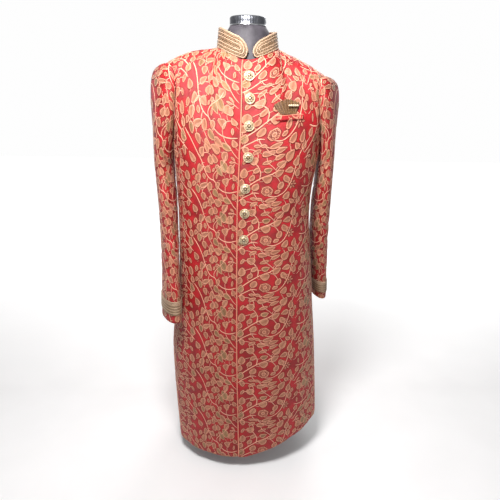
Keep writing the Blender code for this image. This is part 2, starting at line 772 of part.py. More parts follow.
def add_pocket(cloth, silk, pearl):
    """The welt, the pleated square that shows above it, and the row of pearls across it."""
    columns = 9
    welt = []
    for row in range(3):
        height = POCKET_HEIGHT - WELT_WIDTH / 2 + WELT_WIDTH * row / 2
        ways = [k / (columns - 1) - 0.5 for k in range(columns)]
        welt.append([(POCKET_X + POCKET_WIDTH * way, height + WELT_SLOPE * way, 0.0) for way in ways])
    outer, inner = panel_patch(welt, PATCH_LIFT, WELT_WALL)
    wall("pocket_welt", outer, inner, cloth)

    # The square fans out from below the pearls, with a pleat's crest or trough on every ray
    fan = []
    rays = 2 * FAN_PLEATS + 1
    foot = POCKET_HEIGHT + WELT_WIDTH / 2 + 0.0012
    for row in range(5):
        reach = row / 4
        line = []
        for ray in range(rays):
            way = ray / (rays - 1)
            lean = math.radians(-42 + 62 * way)
            length = (0.026 + 0.006 * math.sin(math.pi * way)) * reach
            x = POCKET_X - 0.021 + 0.036 * way + length * math.sin(lean)
            crest = FAN_PLEAT_DEPTH * (ray % 2) * (0.35 + 0.65 * reach)
            line.append((x, foot + length * math.cos(lean), crest + FAN_TILT * reach))
        fan.append(line)
    outer, inner = panel_patch(fan, PATCH_LIFT, FAN_WALL)
    wall("pocket_square", outer, inner, silk)

    # Pearls fused in a row along one axis
    left, normal = panel_spot(1, POCKET_X + PEARLS_X, foot + PEARLS_UP)
    right, _ = panel_spot(1, POCKET_X + PEARLS_X + 0.024, foot + PEARLS_UP)
    axis = unit(right - left)
    profile = []
    for number in range(PEARLS):
        for step in (-0.92, -0.5, 0.0, 0.5, 0.92):
            radius = PEARL_RADIUS * math.sqrt(1 - step * step)
            profile.append((radius, (2 * number + 1 + step) * PEARL_RADIUS * 0.94))
    start = left + normal * (PATCH_LIFT + FAN_WALL + FAN_PLEAT_DEPTH + SEAM + PEARL_RADIUS)
    points, faces = turned(start, axis, profile, 8)
    solid("pocket_pearls", points, faces, pearl)


def form_ring(level):
    """A closed ring of the coat's outer points without folds, with a flat plate across each armhole."""
    shares = [NECK_SHARE * k / NECK_COLUMNS for k in range(NECK_COLUMNS)]
    shares += [NECK_SHARE + (1 - NECK_SHARE) * k / SIDE_COLUMNS for k in range(SIDE_COLUMNS + 1)]

    def plate(side, start, end):
        ends = body_at("front", side, 1.0), body_at("back", side, 1.0)
        return [ends[start] + (ends[end] - ends[start]) * k / 4 for k in (1, 2, 3)]

    def body_at(face, side, share):
        if level <= 1:
            return skirt_point(face, side, share, FORM_BOTTOM + (CHEST - FORM_BOTTOM) * level, False)
        return yoke_point(face, side, share, level - 1)

    ring = [body_at("front", 1, share) for share in shares] + plate(1, 0, 1)
    ring += [body_at("back", 1, share) for share in reversed(shares)]
    ring += [body_at("back", -1, share) for share in shares[1:]] + plate(-1, 1, 0)
    ring += [body_at("front", -1, share) for share in reversed(shares[1:])]
    return ring


def add_form(body, cap, metal):
    """The torso with closed armhole plates and a neck, its cap, and the pole and base that carry it."""
    levels = [k / 9 for k in range(9)] + [1 + k / YOKE_ROWS for k in range(YOKE_ROWS + 1)]
    rings = [form_ring(level) for level in levels]
    count = len(rings[0])
    points = [point for ring in rings for point in ring]
    faces = []
    for row in range(len(rings) - 1):
        for k in range(count):
            near, far = row * count + k, row * count + (k + 1) % count
            faces.append((near, far, far + count, near + count))
    faces.append(tuple(range(count))[::-1])

    mesh = bpy.data.meshes.new("form_torso")
    mesh.from_pydata([tuple(map(float, point)) for point in points], [], faces)
    work = bmesh.new()
    work.from_mesh(mesh)
    bmesh.ops.remove_doubles(work, verts=work.verts, dist=0.00005)
    bmesh.ops.recalc_face_normals(work, faces=work.faces)
    work.normal_update()
    moves = {}
    for vert in work.verts:
        lap = LAP_DIP * math.exp(-((vert.co.x / 0.050) ** 4)) if vert.co.y < -0.02 else 0.0
        ease = float(read_table(FORM_EASE, vert.co.z)[0]) + lap
        moves[vert] = vert.co - vert.normal * ease
    for vert, place in moves.items():
        vert.co = place
    for vert in work.verts:
        if abs(vert.co.z - FORM_BOTTOM) < 0.02:
            vert.co.z = FORM_BOTTOM if vert.co.z < FORM_BOTTOM + 0.018 else vert.co.z

    # The neck rises from the open neckline in rings that draw in
    rim = [edge for edge in work.edges if edge.is_boundary]
    for height, half_width, half_depth in NECK_RINGS:
        made = bmesh.ops.extrude_edge_only(work, edges=rim)["geom"]
        rim = [item for item in made if isinstance(item, bmesh.types.BMEdge)]
        for vert in {vert for edge in rim for vert in edge.verts}:
            angle = math.atan2(vert.co.y, vert.co.x)
            vert.co = (half_width * math.cos(angle), half_depth * math.sin(angle), height)
    bmesh.ops.contextual_create(work, geom=rim)
    bmesh.ops.recalc_face_normals(work, faces=work.faces)
    if work.calc_volume(signed=True) < 0:
        bmesh.ops.reverse_faces(work, faces=work.faces)
    work.to_mesh(mesh)
    work.free()
    mesh.shade_smooth()
    mesh.set_sharp_from_angle(angle=math.radians(SHARP_ANGLE))
    mesh.materials.append(body)
    bpy.context.scene.collection.objects.link(bpy.data.objects.new("form_torso", mesh))

    top, half_width, half_depth = NECK_RINGS[-1]
    profile = ((1.0, SEAM), (1.0, CAP_HEIGHT - 0.003), (0.93, CAP_HEIGHT - 0.0006), (0.80, CAP_HEIGHT))
    points, faces = turned(np.array([0.0, 0.0, top]), (0, 0, 1), profile, 32)
    points = [(p[0] * half_width, p[1] * half_depth, p[2]) for p in points]
    solid("form_neck_cap", points, faces, cap)

    profile = ((POLE_RADIUS, BASE_HEIGHT + SEAM), (POLE_RADIUS, FORM_BOTTOM - SEAM))
    points, faces = turned(np.zeros(3), (0, 0, 1), profile, 20)
    solid("stand_pole", points, faces, metal)
    profile = (
        (BASE_RADIUS, 0.0),
        (BASE_RADIUS, BASE_HEIGHT * 0.5),
        (BASE_RADIUS * 0.96, BASE_HEIGHT * 0.9),
        (BASE_RADIUS * 0.90, BASE_HEIGHT),
    )
    points, faces = turned(np.zeros(3), (0, 0, 1), profile, 40)
    solid("stand_base", points, faces, metal)


def main():
    clear_scene()
    brocade = material("red_brocade", (0.55, 0.055, 0.045), 0.62)
    braid = material("gold_braid", (0.55, 0.38, 0.17), 0.48)
    cord = material("peach_cord", (0.82, 0.40, 0.27), 0.55)
    metal = material("old_gold_metal", (0.58, 0.50, 0.30), 0.34, 0.85)
    silk = material("olive_silk", (0.33, 0.24, 0.11), 0.45)
    pearl = material("pearl", (0.90, 0.86, 0.76), 0.25)
    form = material("form_dark", (0.055, 0.052, 0.065), 0.40)
    cap = material("cap_metal", (0.42, 0.44, 0.47), 0.25, 1.0)
    steel = material("stand_steel", (0.09, 0.09, 0.10), 0.40, 0.6)
    add_fronts(brocade)
    add_back(brocade)
    add_sleeves(brocade)
    add_cuffs(braid)
    add_collar(braid)
    add_piping(cord)
    add_buttons(metal)
    add_pocket(brocade, silk, pearl)
    add_form(form, cap, steel)


main()
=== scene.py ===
"""The look of a brocade sherwani coat on a limbless dress form, built round its solids.

Metres, +Z up, the coat's front faces -Y and its wearer's left is +X, called side +1 below.
Each cloth panel is a fine grid on its solid's own form. The brocade's leaves and vines are thin
raised stitching: one charted repeat, laid over each panel in flat cloth coordinates, where
s is the distance from the middle and t the height up the cloth.
"""

import math

import bmesh
import bpy
import numpy as np
from mathutils import Matrix, Vector


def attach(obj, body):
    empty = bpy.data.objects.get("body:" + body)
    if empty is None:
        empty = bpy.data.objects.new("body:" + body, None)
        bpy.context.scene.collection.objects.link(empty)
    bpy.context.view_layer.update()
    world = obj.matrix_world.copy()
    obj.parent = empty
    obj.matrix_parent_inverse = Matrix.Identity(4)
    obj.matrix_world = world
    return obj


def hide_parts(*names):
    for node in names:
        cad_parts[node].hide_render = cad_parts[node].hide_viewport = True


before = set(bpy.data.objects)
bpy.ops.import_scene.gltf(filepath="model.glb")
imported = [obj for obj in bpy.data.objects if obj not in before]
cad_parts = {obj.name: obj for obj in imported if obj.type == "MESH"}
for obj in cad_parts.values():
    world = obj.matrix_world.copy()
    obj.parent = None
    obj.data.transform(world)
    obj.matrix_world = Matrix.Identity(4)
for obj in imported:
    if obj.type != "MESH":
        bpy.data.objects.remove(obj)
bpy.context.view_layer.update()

# Cloth and seams
WALL = 0.0020
SEAM = 0.0003
UNDERLAP = 0.030
LAP_DIP = 0.0027
LAP_CLEAR = 0.003
DIP_BLEND = 0.014
LAPS = (
    # level from the hem to the neckline, how far the left front's edge lies past the middle
    (0.000, 0.0194),
    (0.250, 0.0226),
    (0.450, 0.0245),
    (0.740, 0.0246),
    (0.886, 0.0234),
    (1.000, 0.0203),
    (1.190, 0.0168),
    (1.500, 0.0140),
    (1.780, 0.0132),
    (2.000, 0.0132),
)

# Heights of the coat
CHEST = 0.875
HEM_FRONT = 0.040
HEM_BACK = 0.058
HEM_LEFT_SIDE = 0.142
HEM_RIGHT_SIDE = 0.044
HEM_CURVE = 1.0

# The body's sections, from the hem up to the chest line
SECTIONS = (
    # height, right half width, left half width, front depth, back depth, squareness
    (0.000, 0.204, 0.228, 0.183, 0.176, 2.30),
    (0.100, 0.210, 0.224, 0.177, 0.168, 2.30),
    (0.230, 0.214, 0.215, 0.169, 0.160, 2.32),
    (0.360, 0.212, 0.204, 0.159, 0.150, 2.35),
    (0.460, 0.196, 0.193, 0.150, 0.141, 2.40),
    (0.560, 0.186, 0.184, 0.141, 0.132, 2.45),
    (0.650, 0.182, 0.175, 0.132, 0.115, 2.50),
    (0.720, 0.181, 0.169, 0.126, 0.101, 2.50),
    (0.800, 0.183, 0.172, 0.124, 0.103, 2.50),
    (0.875, 0.186, 0.184, 0.121, 0.112, 2.50),
    (0.950, 0.190, 0.188, 0.112, 0.116, 2.50),
)

# The soft folds of the body: a trough has a negative depth
FOLDS = (
    # face, side, share of the girth, top, bottom, depth, half width
    ("front", 1, 0.74, 0.60, 0.04, 0.0050, 0.060),
    ("front", 1, 0.90, 0.52, 0.04, -0.0040, 0.050),
    ("front", 1, 0.42, 0.48, 0.04, -0.0030, 0.080),
    ("front", -1, 0.70, 0.56, 0.04, 0.0045, 0.060),
    ("front", -1, 0.86, 0.60, 0.04, -0.0040, 0.050),
    ("front", -1, 0.36, 0.42, 0.04, -0.0025, 0.080),
    ("back", 1, 0.30, 0.60, 0.04, 0.0060, 0.090),
    ("back", 1, 0.62, 0.56, 0.04, -0.0055, 0.080),
    ("back", 1, 0.86, 0.50, 0.04, 0.0050, 0.060),
    ("back", -1, 0.24, 0.58, 0.04, -0.0050, 0.090),
    ("back", -1, 0.56, 0.62, 0.04, 0.0060, 0.080),
    ("back", -1, 0.82, 0.52, 0.04, -0.0050, 0.060),
)

# The neckline, the shoulder seam and how the cloth runs between the chest line and them
NECK_WIDTH = 0.074
NECK_FRONT_DEPTH = 0.070
NECK_BACK_DEPTH = 0.060
NECK_PIT_HEIGHT = 1.100
NECK_SIDE_HEIGHT = 1.128
NECK_BACK_HEIGHT = 1.126
LEFT_SHOULDER_TIP = (0.206, 0.000, 1.061)
LEFT_SHOULDER_CREST = 0.004
RIGHT_SHOULDER_TIP = (0.212, 0.000, 1.084)
RIGHT_SHOULDER_CREST = 0.010
NECK_SHARE = 0.43
YOKE = (
    # share, rise, top run, top lift, top spread
    (0.00, 0.230, 0.110, 0.200, 0.000),
    (0.43, 0.300, 0.230, 0.110, -0.020),
    (0.72, 0.320, 0.300, 0.015, 0.000),
    (1.00, 0.300, 0.460, 0.010, 0.040),
)
ARMHOLE_CUT = 0.21
YOKE_CLOTH = 0.235

# The sleeves, each with its own hang: the right one forward, the left one back
SLEEVE_TOP = 0.850
SLEEVES = {
    "right": (
        # height, centre out from the middle, centre forward, half width, half depth, turned inwards
        (0.850, 0.2150, 0.000, 0.0230, 0.064, 0.0),
        (0.750, 0.2095, 0.018, 0.0230, 0.061, 5.0),
        (0.650, 0.2060, 0.042, 0.0225, 0.058, 11.0),
        (0.550, 0.2035, 0.070, 0.0215, 0.055, 18.0),
        (0.480, 0.2025, 0.088, 0.0210, 0.053, 23.0),
        (0.454, 0.2025, 0.094, 0.0210, 0.052, 24.0),
    ),
    "left": (
        (0.850, 0.2065, 0.000, 0.0195, 0.064, 0.0),
        (0.750, 0.2040, -0.010, 0.0220, 0.061, -3.0),
        (0.650, 0.2060, -0.024, 0.0220, 0.058, -6.0),
        (0.550, 0.2120, -0.040, 0.0205, 0.055, -9.0),
        (0.480, 0.2175, -0.050, 0.0185, 0.053, -10.0),
        (0.462, 0.2190, -0.052, 0.0180, 0.052, -10.0),
    ),
}

# The share of a sleeve's girth from the underarm line to each of its seams, and the cuff's bands
SLEEVE_SEAM = 3 / 20
CUFF_RISE = 0.021
CUFF_WIDTH = 0.036
CUFF_ROWS = 5

# The collar
COLLAR_HEIGHT = 0.043
COLLAR_LEFT_DROP = 0.009
COLLAR_WALL = 0.0024
COLLAR_LEAN = 0.14
COLLAR_RIGHT_END = 0.001
COLLAR_LEFT_END = 0.012
COLLAR_TOP_ROUND = 0.028
COLLAR_BASE_ROUND = 0.010
COLLAR_TIP_SHARE = 0.38
COLLAR_CORDS = 6
BRAID_BACKING = 0.0012

# Buttons, piping and the breast pocket
BUTTONS = (
    # height, distance to the wearer's left of the middle
    (1.0641, 0.0032),
    (1.0153, 0.0050),
    (0.9555, 0.0035),
    (0.8850, 0.0020),
    (0.8109, -0.0042),
    (0.7497, -0.0055),
    (0.6832, -0.0071),
)
BUTTON_RADIUS = 0.0122
BUTTON_SEAT = 0.0006
BUTTON_AROUND = 64
BUTTON_BEADS = 21
BUTTON_RINGS = (
    # radius share, height, bead height, petal height
    (0.80, 0.0000, 0.0000, 0.0000), (0.97, 0.0004, 0.0000, 0.0000), (1.00, 0.0014, 0.0000, 0.0000),
    (0.99, 0.0024, 0.0002, 0.0000), (0.95, 0.0032, 0.0005, 0.0000), (0.90, 0.0034, 0.0006, 0.0000),
    (0.85, 0.0030, 0.0003, 0.0000), (0.81, 0.0027, 0.0000, 0.0000), (0.76, 0.0033, 0.0000, 0.0001),
    (0.70, 0.0042, 0.0000, 0.0003), (0.62, 0.0051, 0.0000, 0.0005), (0.54, 0.0058, 0.0000, 0.0006),
    (0.46, 0.0063, 0.0000, 0.0005), (0.38, 0.0066, 0.0000, 0.0003), (0.33, 0.0064, 0.0000, 0.0000),
    (0.29, 0.0066, 0.0000, 0.0000), (0.23, 0.0073, 0.0000, 0.0000), (0.15, 0.0078, 0.0000, 0.0000),
    (0.06, 0.0080, 0.0000, 0.0000),
)
# Rings whose faces take the dark metal: patina in the grooves and round the boss, and painted shade on the
# rim's outer side (rings 1 and 2)
BUTTON_PATINA_AND_SHADE_RINGS = {1, 2, 7, 13, 14, 15, 16}
BUTTON_PETAL_RINGS = range(9, 13)
PIPING_RADIUS = 0.0016
PIPING_INSET = 0.0014
POCKET_X = 0.098
POCKET_HEIGHT = 0.975
POCKET_WIDTH = 0.066
WELT_WIDTH = 0.011
WELT_WALL = 0.0016
WELT_SLOPE = 0.004
PATCH_LIFT = 0.0014
WELT_ROWS = 6
WELT_COLUMNS = 28
WELT_CROWN = 0.0003
FAN_PLEATS = 8
FAN_ROWS = 18
FAN_RAYS = 64
FAN_GAP = 0.0012
FAN_LEFT = -0.021
FAN_FOOT_WIDTH = 0.036
FAN_FIRST_LEAN = -42
FAN_SPREAD = 62
FAN_HEIGHT = 0.026
FAN_CROWN = 0.006
FAN_CLOTH = 0.03
FAN_WALL = 0.0010
FAN_PLEAT_DEPTH = 0.0014
FAN_TILT = 0.0004
FAN_PITCH = 0.0045
PEARLS = 5
PEARLS_X = -0.006
PEARLS_UP = 0.019
PEARL_RADIUS = 0.0027
PEARL_SIZE = 0.97
PEARL_SPACING = 0.94
PEARLS_RUN = 0.024

# The dress form and its stand
FORM_BOTTOM = 0.420
CAP_BOTTOM = 1.175
CAP_HALF_WIDTH = 0.0435
CAP_HALF_DEPTH = 0.0415
CAP_FLUTES = 40
CAP_FLUTE_DEPTH = 0.012
BASE_RADIUS = 0.102
BASE_HEIGHT = 0.014
POLE_RADIUS = 0.016

# How deep and how wide the cloth dips beside a seam
SEAM_DIP = 0.0011
SEAM_ROLL = 0.0035

# How finely the panels are divided
SKIRT_ROWS = 104
YOKE_ROWS = 40
FRONT_COLUMNS = 46
BACK_COLUMNS = 44
SLEEVE_AROUND = 60
HEAD_ROWS = 36
ARM_ROWS = 56

# Creases that the folds of the solids leave out, on flat cloth
CREASES = (
    # panel, s, t, angle, half length, half width, depth
    ("front_left", 0.150, 0.740, 24, 0.060, 0.009, -0.0016),
    ("front_left", 0.120, 0.700, 14, 0.050, 0.008, -0.0012),
    ("front_left", 0.165, 0.655, -16, 0.055, 0.010, 0.0014),
    ("front_left", 0.190, 0.905, 58, 0.050, 0.010, -0.0022),
    ("front_left", 0.165, 0.930, 64, 0.045, 0.011, 0.0018),
    ("front_right", 0.150, 0.735, 20, 0.058, 0.009, -0.0017),
    ("front_right", 0.125, 0.690, 10, 0.048, 0.008, -0.0011),
    ("front_right", 0.170, 0.645, -18, 0.050, 0.010, 0.0013),
    ("front_right", 0.195, 0.900, 60, 0.052, 0.010, -0.0024),
    ("front_right", 0.168, 0.925, 66, 0.044, 0.011, 0.0017),
    ("back_left", 0.110, 0.735, 12, 0.070, 0.010, -0.0020),
    ("back_left", 0.070, 0.690, -8, 0.060, 0.009, -0.0014),
    ("back_left", 0.190, 0.910, 62, 0.055, 0.010, -0.0024),
    ("back_right", 0.115, 0.725, 14, 0.065, 0.010, -0.0021),
    ("back_right", 0.060, 0.770, 6, 0.060, 0.009, -0.0012),
    ("back_right", 0.185, 0.915, 60, 0.050, 0.010, -0.0022),
    ("sleeve_left", -0.060, 0.690, 12, 0.050, 0.007, -0.0018),
    ("sleeve_left", -0.050, 0.655, -10, 0.045, 0.007, -0.0022),
    ("sleeve_left", -0.070, 0.625, 8, 0.040, 0.006, -0.0016),
    ("sleeve_left", 0.060, 0.800, -28, 0.050, 0.008, -0.0018),
    ("sleeve_left", 0.020, 0.560, 14, 0.060, 0.008, -0.0014),
    ("sleeve_right", -0.070, 0.700, 10, 0.050, 0.007, -0.0020),
    ("sleeve_right", -0.055, 0.665, -12, 0.048, 0.007, -0.0024),
    ("sleeve_right", -0.075, 0.632, 10, 0.042, 0.006, -0.0018),
    ("sleeve_right", 0.060, 0.810, -26, 0.050, 0.008, -0.0018),
    ("sleeve_right", 0.015, 0.575, 12, 0.060, 0.008, -0.0014),
)

# The brocade's repeat: two cells, each as wide and as high as this
REPEAT = 0.124
CELL = 0.140
LEAVES = {
    # cell: (s, t, direction of the tip, length, width, kind), in millimetres and degrees
    "A": (
        (40, 62, 60, 30, 19, "olive"), (51, 49, 238, 24, 16, "olive"), (20, 54, 100, 22, 19, "heart"),
        (79, 74, 105, 19, 16, "heart"), (65, 77, 75, 18, 14, "leaf"), (88, 52, 215, 20, 15, "leaf"),
        (33, 24, 255, 20, 17, "heart"), (83, 13, 95, 20, 16, "leaf"), (101, 14, 160, 25, 13, "leaf"),
        (63, -4, 222, 23, 15, "olive"), (46, -15, 214, 24, 15, "leaf"),
        (27, -22, 204, 24, 14, "olive"), (79, -22, 200, 22, 18, "heart"), (12, 13, 95, 15, 6, "petal"),
        (60, 38, 100, 15, 6, "petal"), (14, 79, 40, 12, 6, "petal"), (18, 70, 5, 12, 6, "petal"),
        (14, 61, -35, 11, 5, "petal"), (57, 97, 25, 24, 17, "leaf"), (99, 90, 130, 19, 13, "leaf"),
        (114, 54, 300, 21, 16, "heart"), (120, 30, 282, 22, 16, "leaf"),
        (121, 4, 262, 20, 14, "olive"), (104, -13, 250, 19, 14, "leaf"), (60, 60, 150, 13, 9, "petal"),
        (34, 84, 125, 21, 16, "leaf"), (9, 34, 60, 15, 11, "leaf"), (58, 15, 280, 17, 13, "leaf"),
        (133, 78, 60, 20, 14, "leaf"), (82, 96, 80, 17, 12, "petal"), (9, 112, 70, 16, 12, "leaf"),
        (133, 46, 100, 15, 11, "leaf"), (101, 36, 250, 14, 10, "petal"),
        (133, 16, 300, 14, 10, "leaf"), (71, 52, 120, 11, 7, "petal"),
    ),
    "B": (
        (8, 12, 80, 17, 13, "leaf"), (107, 42, 200, 18, 13, "leaf"), (63, 42, 20, 16, 12, "olive"),
        (31, 24, 60, 15, 11, "leaf"), (115, 90, 140, 14, 10, "leaf"), (134, 50, 260, 13, 9, "petal"),
        (83, 114, 30, 13, 9, "petal"), (10, -10, 72, 21, 15, "olive"), (39, 2, 60, 18, 14, "leaf"),
        (62, 21, 30, 20, 17, "heart"), (62, -8, 0, 22, 22, "rosette"), (35, -27, 350, 13, 8, "petal"),
        (47, -28, 345, 13, 8, "petal"), (71, -30, 20, 23, 10, "leaf"), (82, -39, 18, 21, 10, "leaf"),
        (66, -43, 14, 20, 9, "leaf"), (83, -52, 26, 20, 9, "leaf"), (33, 63, 280, 19, 17, "heart"),
        (13, 35, 80, 22, 16, "leaf"), (104, 74, 60, 22, 16, "leaf"), (90, 56, 40, 20, 15, "heart"),
        (60, 60, 22, 19, 9, "petal"), (86, 36, 42, 20, 13, "leaf"), (40, 42, 45, 16, 11, "leaf"),
        (122, 62, 88, 21, 13, "leaf"), (114, 8, 0, 21, 21, "star"), (101, 22, 120, 18, 13, "leaf"),
        (127, 36, 80, 19, 12, "leaf"), (103, -20, 62, 20, 13, "heart"), (125, -18, 84, 21, 12, "leaf"),
        (14, 88, 285, 17, 12, "leaf"), (36, 84, 30, 17, 10, "petal"), (14, 62, 60, 15, 8, "petal"),
        (90, 6, 70, 18, 12, "leaf"), (56, 78, 350, 18, 11, "leaf"), (133, 92, 100, 18, 12, "leaf"),
    ),
}
VINES = {
    # cell: (width, points along it), in millimetres
    "A": (
        (2.3, ((2, 1), (18, -2), (33, -1), (45, 3), (55, 10), (63, 20), (70, 27), (80, 30), (88, 35),
               (96, 46), (103, 60), (110, 78), (118, 95), (129, 112), (142, 126))),
        (1.6, ((33, -1), (28, -12), (18, -24), (8, -38), (0, -46))),
        (1.6, ((70, 27), (72, 36), (66, 46), (56, 54), (46, 62), (36, 74), (30, 88))),
        (1.4, ((88, 35), (92, 24), (90, 10), (80, -6), (72, -18))),
        (1.5, ((1, 66), (8, 70), (16, 72), (24, 70))),
        (1.3, ((8, 70), (12, 77), (17, 83))),
        (1.3, ((8, 70), (12, 64), (18, 58), (24, 54))),
        (1.5, ((103, 60), (112, 48), (116, 32), (114, 14), (106, -2))),
        (1.4, ((110, 78), (100, 84), (88, 88), (78, 86), (70, 80))),
        (1.3, ((33, -1), (34, 10), (30, 22), (20, 32), (10, 36))),
        (1.3, ((55, 10), (60, 2), (66, -6), (64, -14))),
    ),
    "B": (
        (2.4, ((0, -16), (14, -4), (26, 6), (36, 14), (46, 21), (57, 28), (70, 32), (80, 40))),
        (2.0, ((2, -34), (14, -24), (24, -18), (36, -12), (46, -14))),
        (1.8, ((46, 21), (48, 34), (44, 48), (36, 58), (24, 64), (12, 62))),
        (1.8, ((64, -20), (78, -22), (94, -14), (106, 2), (114, 20), (120, 44), (124, 66), (132, 86),
               (142, 98))),
        (1.4, ((36, -12), (40, -22), (50, -30), (62, -34), (76, -34), (90, -40))),
        (1.4, ((50, -30), (58, -40), (70, -48), (84, -52))),
        (1.4, ((80, 40), (88, 50), (98, 62), (104, 76), (100, 90))),
        (1.3, ((70, 32), (80, 26), (88, 14), (92, 4))),
        (1.3, ((80, 40), (72, 50), (62, 60), (56, 74))),
        (1.3, ((114, 20), (106, 24), (98, 22))),
        (1.3, ((44, 48), (36, 44), (24, 40), (14, 34))),
        (1.3, ((36, 58), (40, 70), (36, 84), (24, 90), (14, 88))),
    ),
}

# A leaf's dark contour, an outline widened into painted shadow round the raised stitching, and its raised
# rim, its heights from the outside in, and how its outline wavers
OUTLINE_SHADOW_WIDTH = 0.0016
RIM = 0.0010
STITCH_HEIGHTS = (0.00005, 0.00020, 0.00080, 0.00045, 0.00065)
LEAF_SCALE = 1.08
WAVER = 0.07

# Leaves that overlap lie on different levels
LEAF_LIFTS = 5
LEAF_STEP = 0.00012

# Stems take their length and bend in turn
STEM_WIDTH = 0.0010
STEM_LENGTHS = (0.012, 0.009, 0.015)
STEM_BENDS = (0.55, -0.70, -0.35, 0.80)

# A vine's dark edges, painted shadow beside the raised cord, the heights across it, and its tapered ends
VINE_STEP = 0.0035
VINE_SHADOW_EDGE = 0.0007
VINE_HEIGHTS = (0.00005, 0.00015, 0.00100, 0.00015, 0.00005)
VINE_TAPER = 0.010
VINE_TIP = 0.45

# How far up the cloth the repeat starts
RIGHT_SHIFT = 0.058
LEFT_SHIFT = 0.069
SLEEVE_SHIFTS = (0.02, 0.05)
SLEEVE_HEAD_CLOTH = 0.26

# The right sleeve's inner side swells towards the waist
SWELL = 0.002
SWELL_HEIGHT = 0.730
SWELL_WIDTH = 0.030
SWELL_REACH = 0.130

# Facings: rows of brocade turned to the inside at the hem and the sleeve ends
HEM_TURN_ROWS = 4
CUFF_TURN_ROWS = 3

# Braid and cords
BRAID_PLY = 0.10
BRAID_PITCH = 0.0046
BRAID_FLAT = 0.9
BRAID_WIDE = 0.47
BRAID_NARROW = 0.38
BRAID_STEP = 0.00115
EDGE_RADIUS = 0.0015
EDGE_STEP = 0.0013
CUFF_RINGS = 9
CUFF_AROUND = 96
CUFF_CORD_AROUND = 190
PIPING_STEP = 0.0016
PIPING_PLY = 0.09
PIPING_PITCH = 0.0050
WELT_CORD_RADIUS = 0.0011
WELT_CORD_PLY = 0.08
CORD_SIDES = 8

# The floor's half width, and the greys of the sky from the front (0) to behind the coat (1)
FLOOR = 6
SKY_STOPS = ((0.30, 0.17), (0.70, 0.38), (0.90, 0.99))
LIGHTS = (
    # name, place, aim, size, power, colour
    ("key", (-0.16, -0.62, 1.62), (0.0, -0.10, 1.02), 0.40, 22.0, (1.0, 0.98, 0.98)),
    ("fill", (1.5, -1.8, 1.4), (0.0, 0.0, 0.9), 1.6, 3.0, (1.0, 1.0, 1.0)),
    ("back", (0.6, 1.7, 1.9), (0.0, 0.05, 0.8), 1.2, 14.0, (1.0, 1.0, 1.0)),
)

# The camera stands in front of the coat and looks down on it, as the photo's does. Its distance,
# height and sideways offset are in metres, and its angles in radians.
SENSOR = 36.0
IMAGE_WIDTH = 500.0
LENS_IN_PIXELS = 465.0
LENS_SHIFT = (-0.01934, 0.0306)
DISTANCE = 1.240
EYE_HEIGHT = 1.040
TILT = 0.3649
ROLL = 0.0200
TURN = 0.0410
OFFSET = 0.0393


def unit(vector):
    vector = np.asarray(vector, float)
    return vector / np.linalg.norm(vector)


def smooth_step(value):
    value = np.clip(value, 0.0, 1.0)
    return value * value * (3.0 - 2.0 * value)


def hermite(start, leave, end, arrive, t):
    """A cubic from start to end, with the given directions at its ends."""
    return (
        (2 * t**3 - 3 * t**2 + 1) * start
        + (t**3 - 2 * t**2 + t) * leave
        + (3 * t**2 - 2 * t**3) * end
        + (t**3 - t**2) * arrive
    )


TABLE_SLOPES = {}


def read_table(table, key, level_start=False):
    """The table's other columns at a value of its first one, on a smooth curve through its rows."""
    found = TABLE_SLOPES.get((id(table), level_start))
    if found is None:
        rows = np.array(table, float)
        if rows[0, 0] > rows[-1, 0]:
            rows = rows[::-1]
        slopes = np.gradient(rows[:, 1:], rows[:, 0], axis=0)
        if level_start:
            slopes[0] = 0.0
        found = TABLE_SLOPES[(id(table), level_start)] = (rows, slopes)
    rows, slopes = found
    keys = rows[:, 0]
    index = int(min(max(np.searchsorted(keys, key) - 1, 0), len(keys) - 2))
    span = keys[index + 1] - keys[index]
    t = (min(max(key, keys[0]), keys[-1]) - keys[index]) / span
    return hermite(rows[index, 1:], slopes[index] * span, rows[index + 1, 1:], slopes[index + 1] * span, t)


ARC = np.linspace(0.0, math.pi / 2, 120)


def quarter_arc(width, depth, square):
    """Points along a rounded quarter section, from its middle to its side, with the length so far."""
    across = width * np.sin(ARC) ** (2 / square)
    out = depth * np.cos(ARC) ** (2 / square)
    steps = np.hypot(np.diff(across), np.diff(out))
    return np.concatenate([[0.0], np.cumsum(steps)]), across, out


def girth(face, side, height):
    """The quarter section of one side of the front or back at a height."""
    right, left, front, back, square = read_table(SECTIONS, height)
    return quarter_arc(left if side > 0 else right, front if face == "front" else back, square)


def fold_depth(face, side, share, height):
    total = 0.0
    for fold_face, fold_side, place, top, bottom, depth, half in FOLDS:
        if fold_face == face and fold_side == side:
            down = smooth_step((top - height) / (top - bottom))
            total += depth * down * math.exp(-(((share - place) / half) ** 2))
    return total


def skirt_point(face, side, share, height, folds=True):
    """A point of the body below the chest line; share runs from the middle to the side seam."""
    if share < 0:
        side, share = -side, -share
    length, across, out = girth(face, side, height)
    x = np.interp(share * length[-1], length, across)
    y = np.interp(share * length[-1], length, out)
    if folds:
        # Folds fade out at the side seam, where the front meets the back
        push = fold_depth(face, side, share, height) * smooth_step((1.0 - share) / 0.08)
        away = unit((x / across[-1] ** 2, y / out[0] ** 2))
        x, y = x + away[0] * push, y + away[1] * push
    return np.array([side * x, -y if face == "front" else y, height])


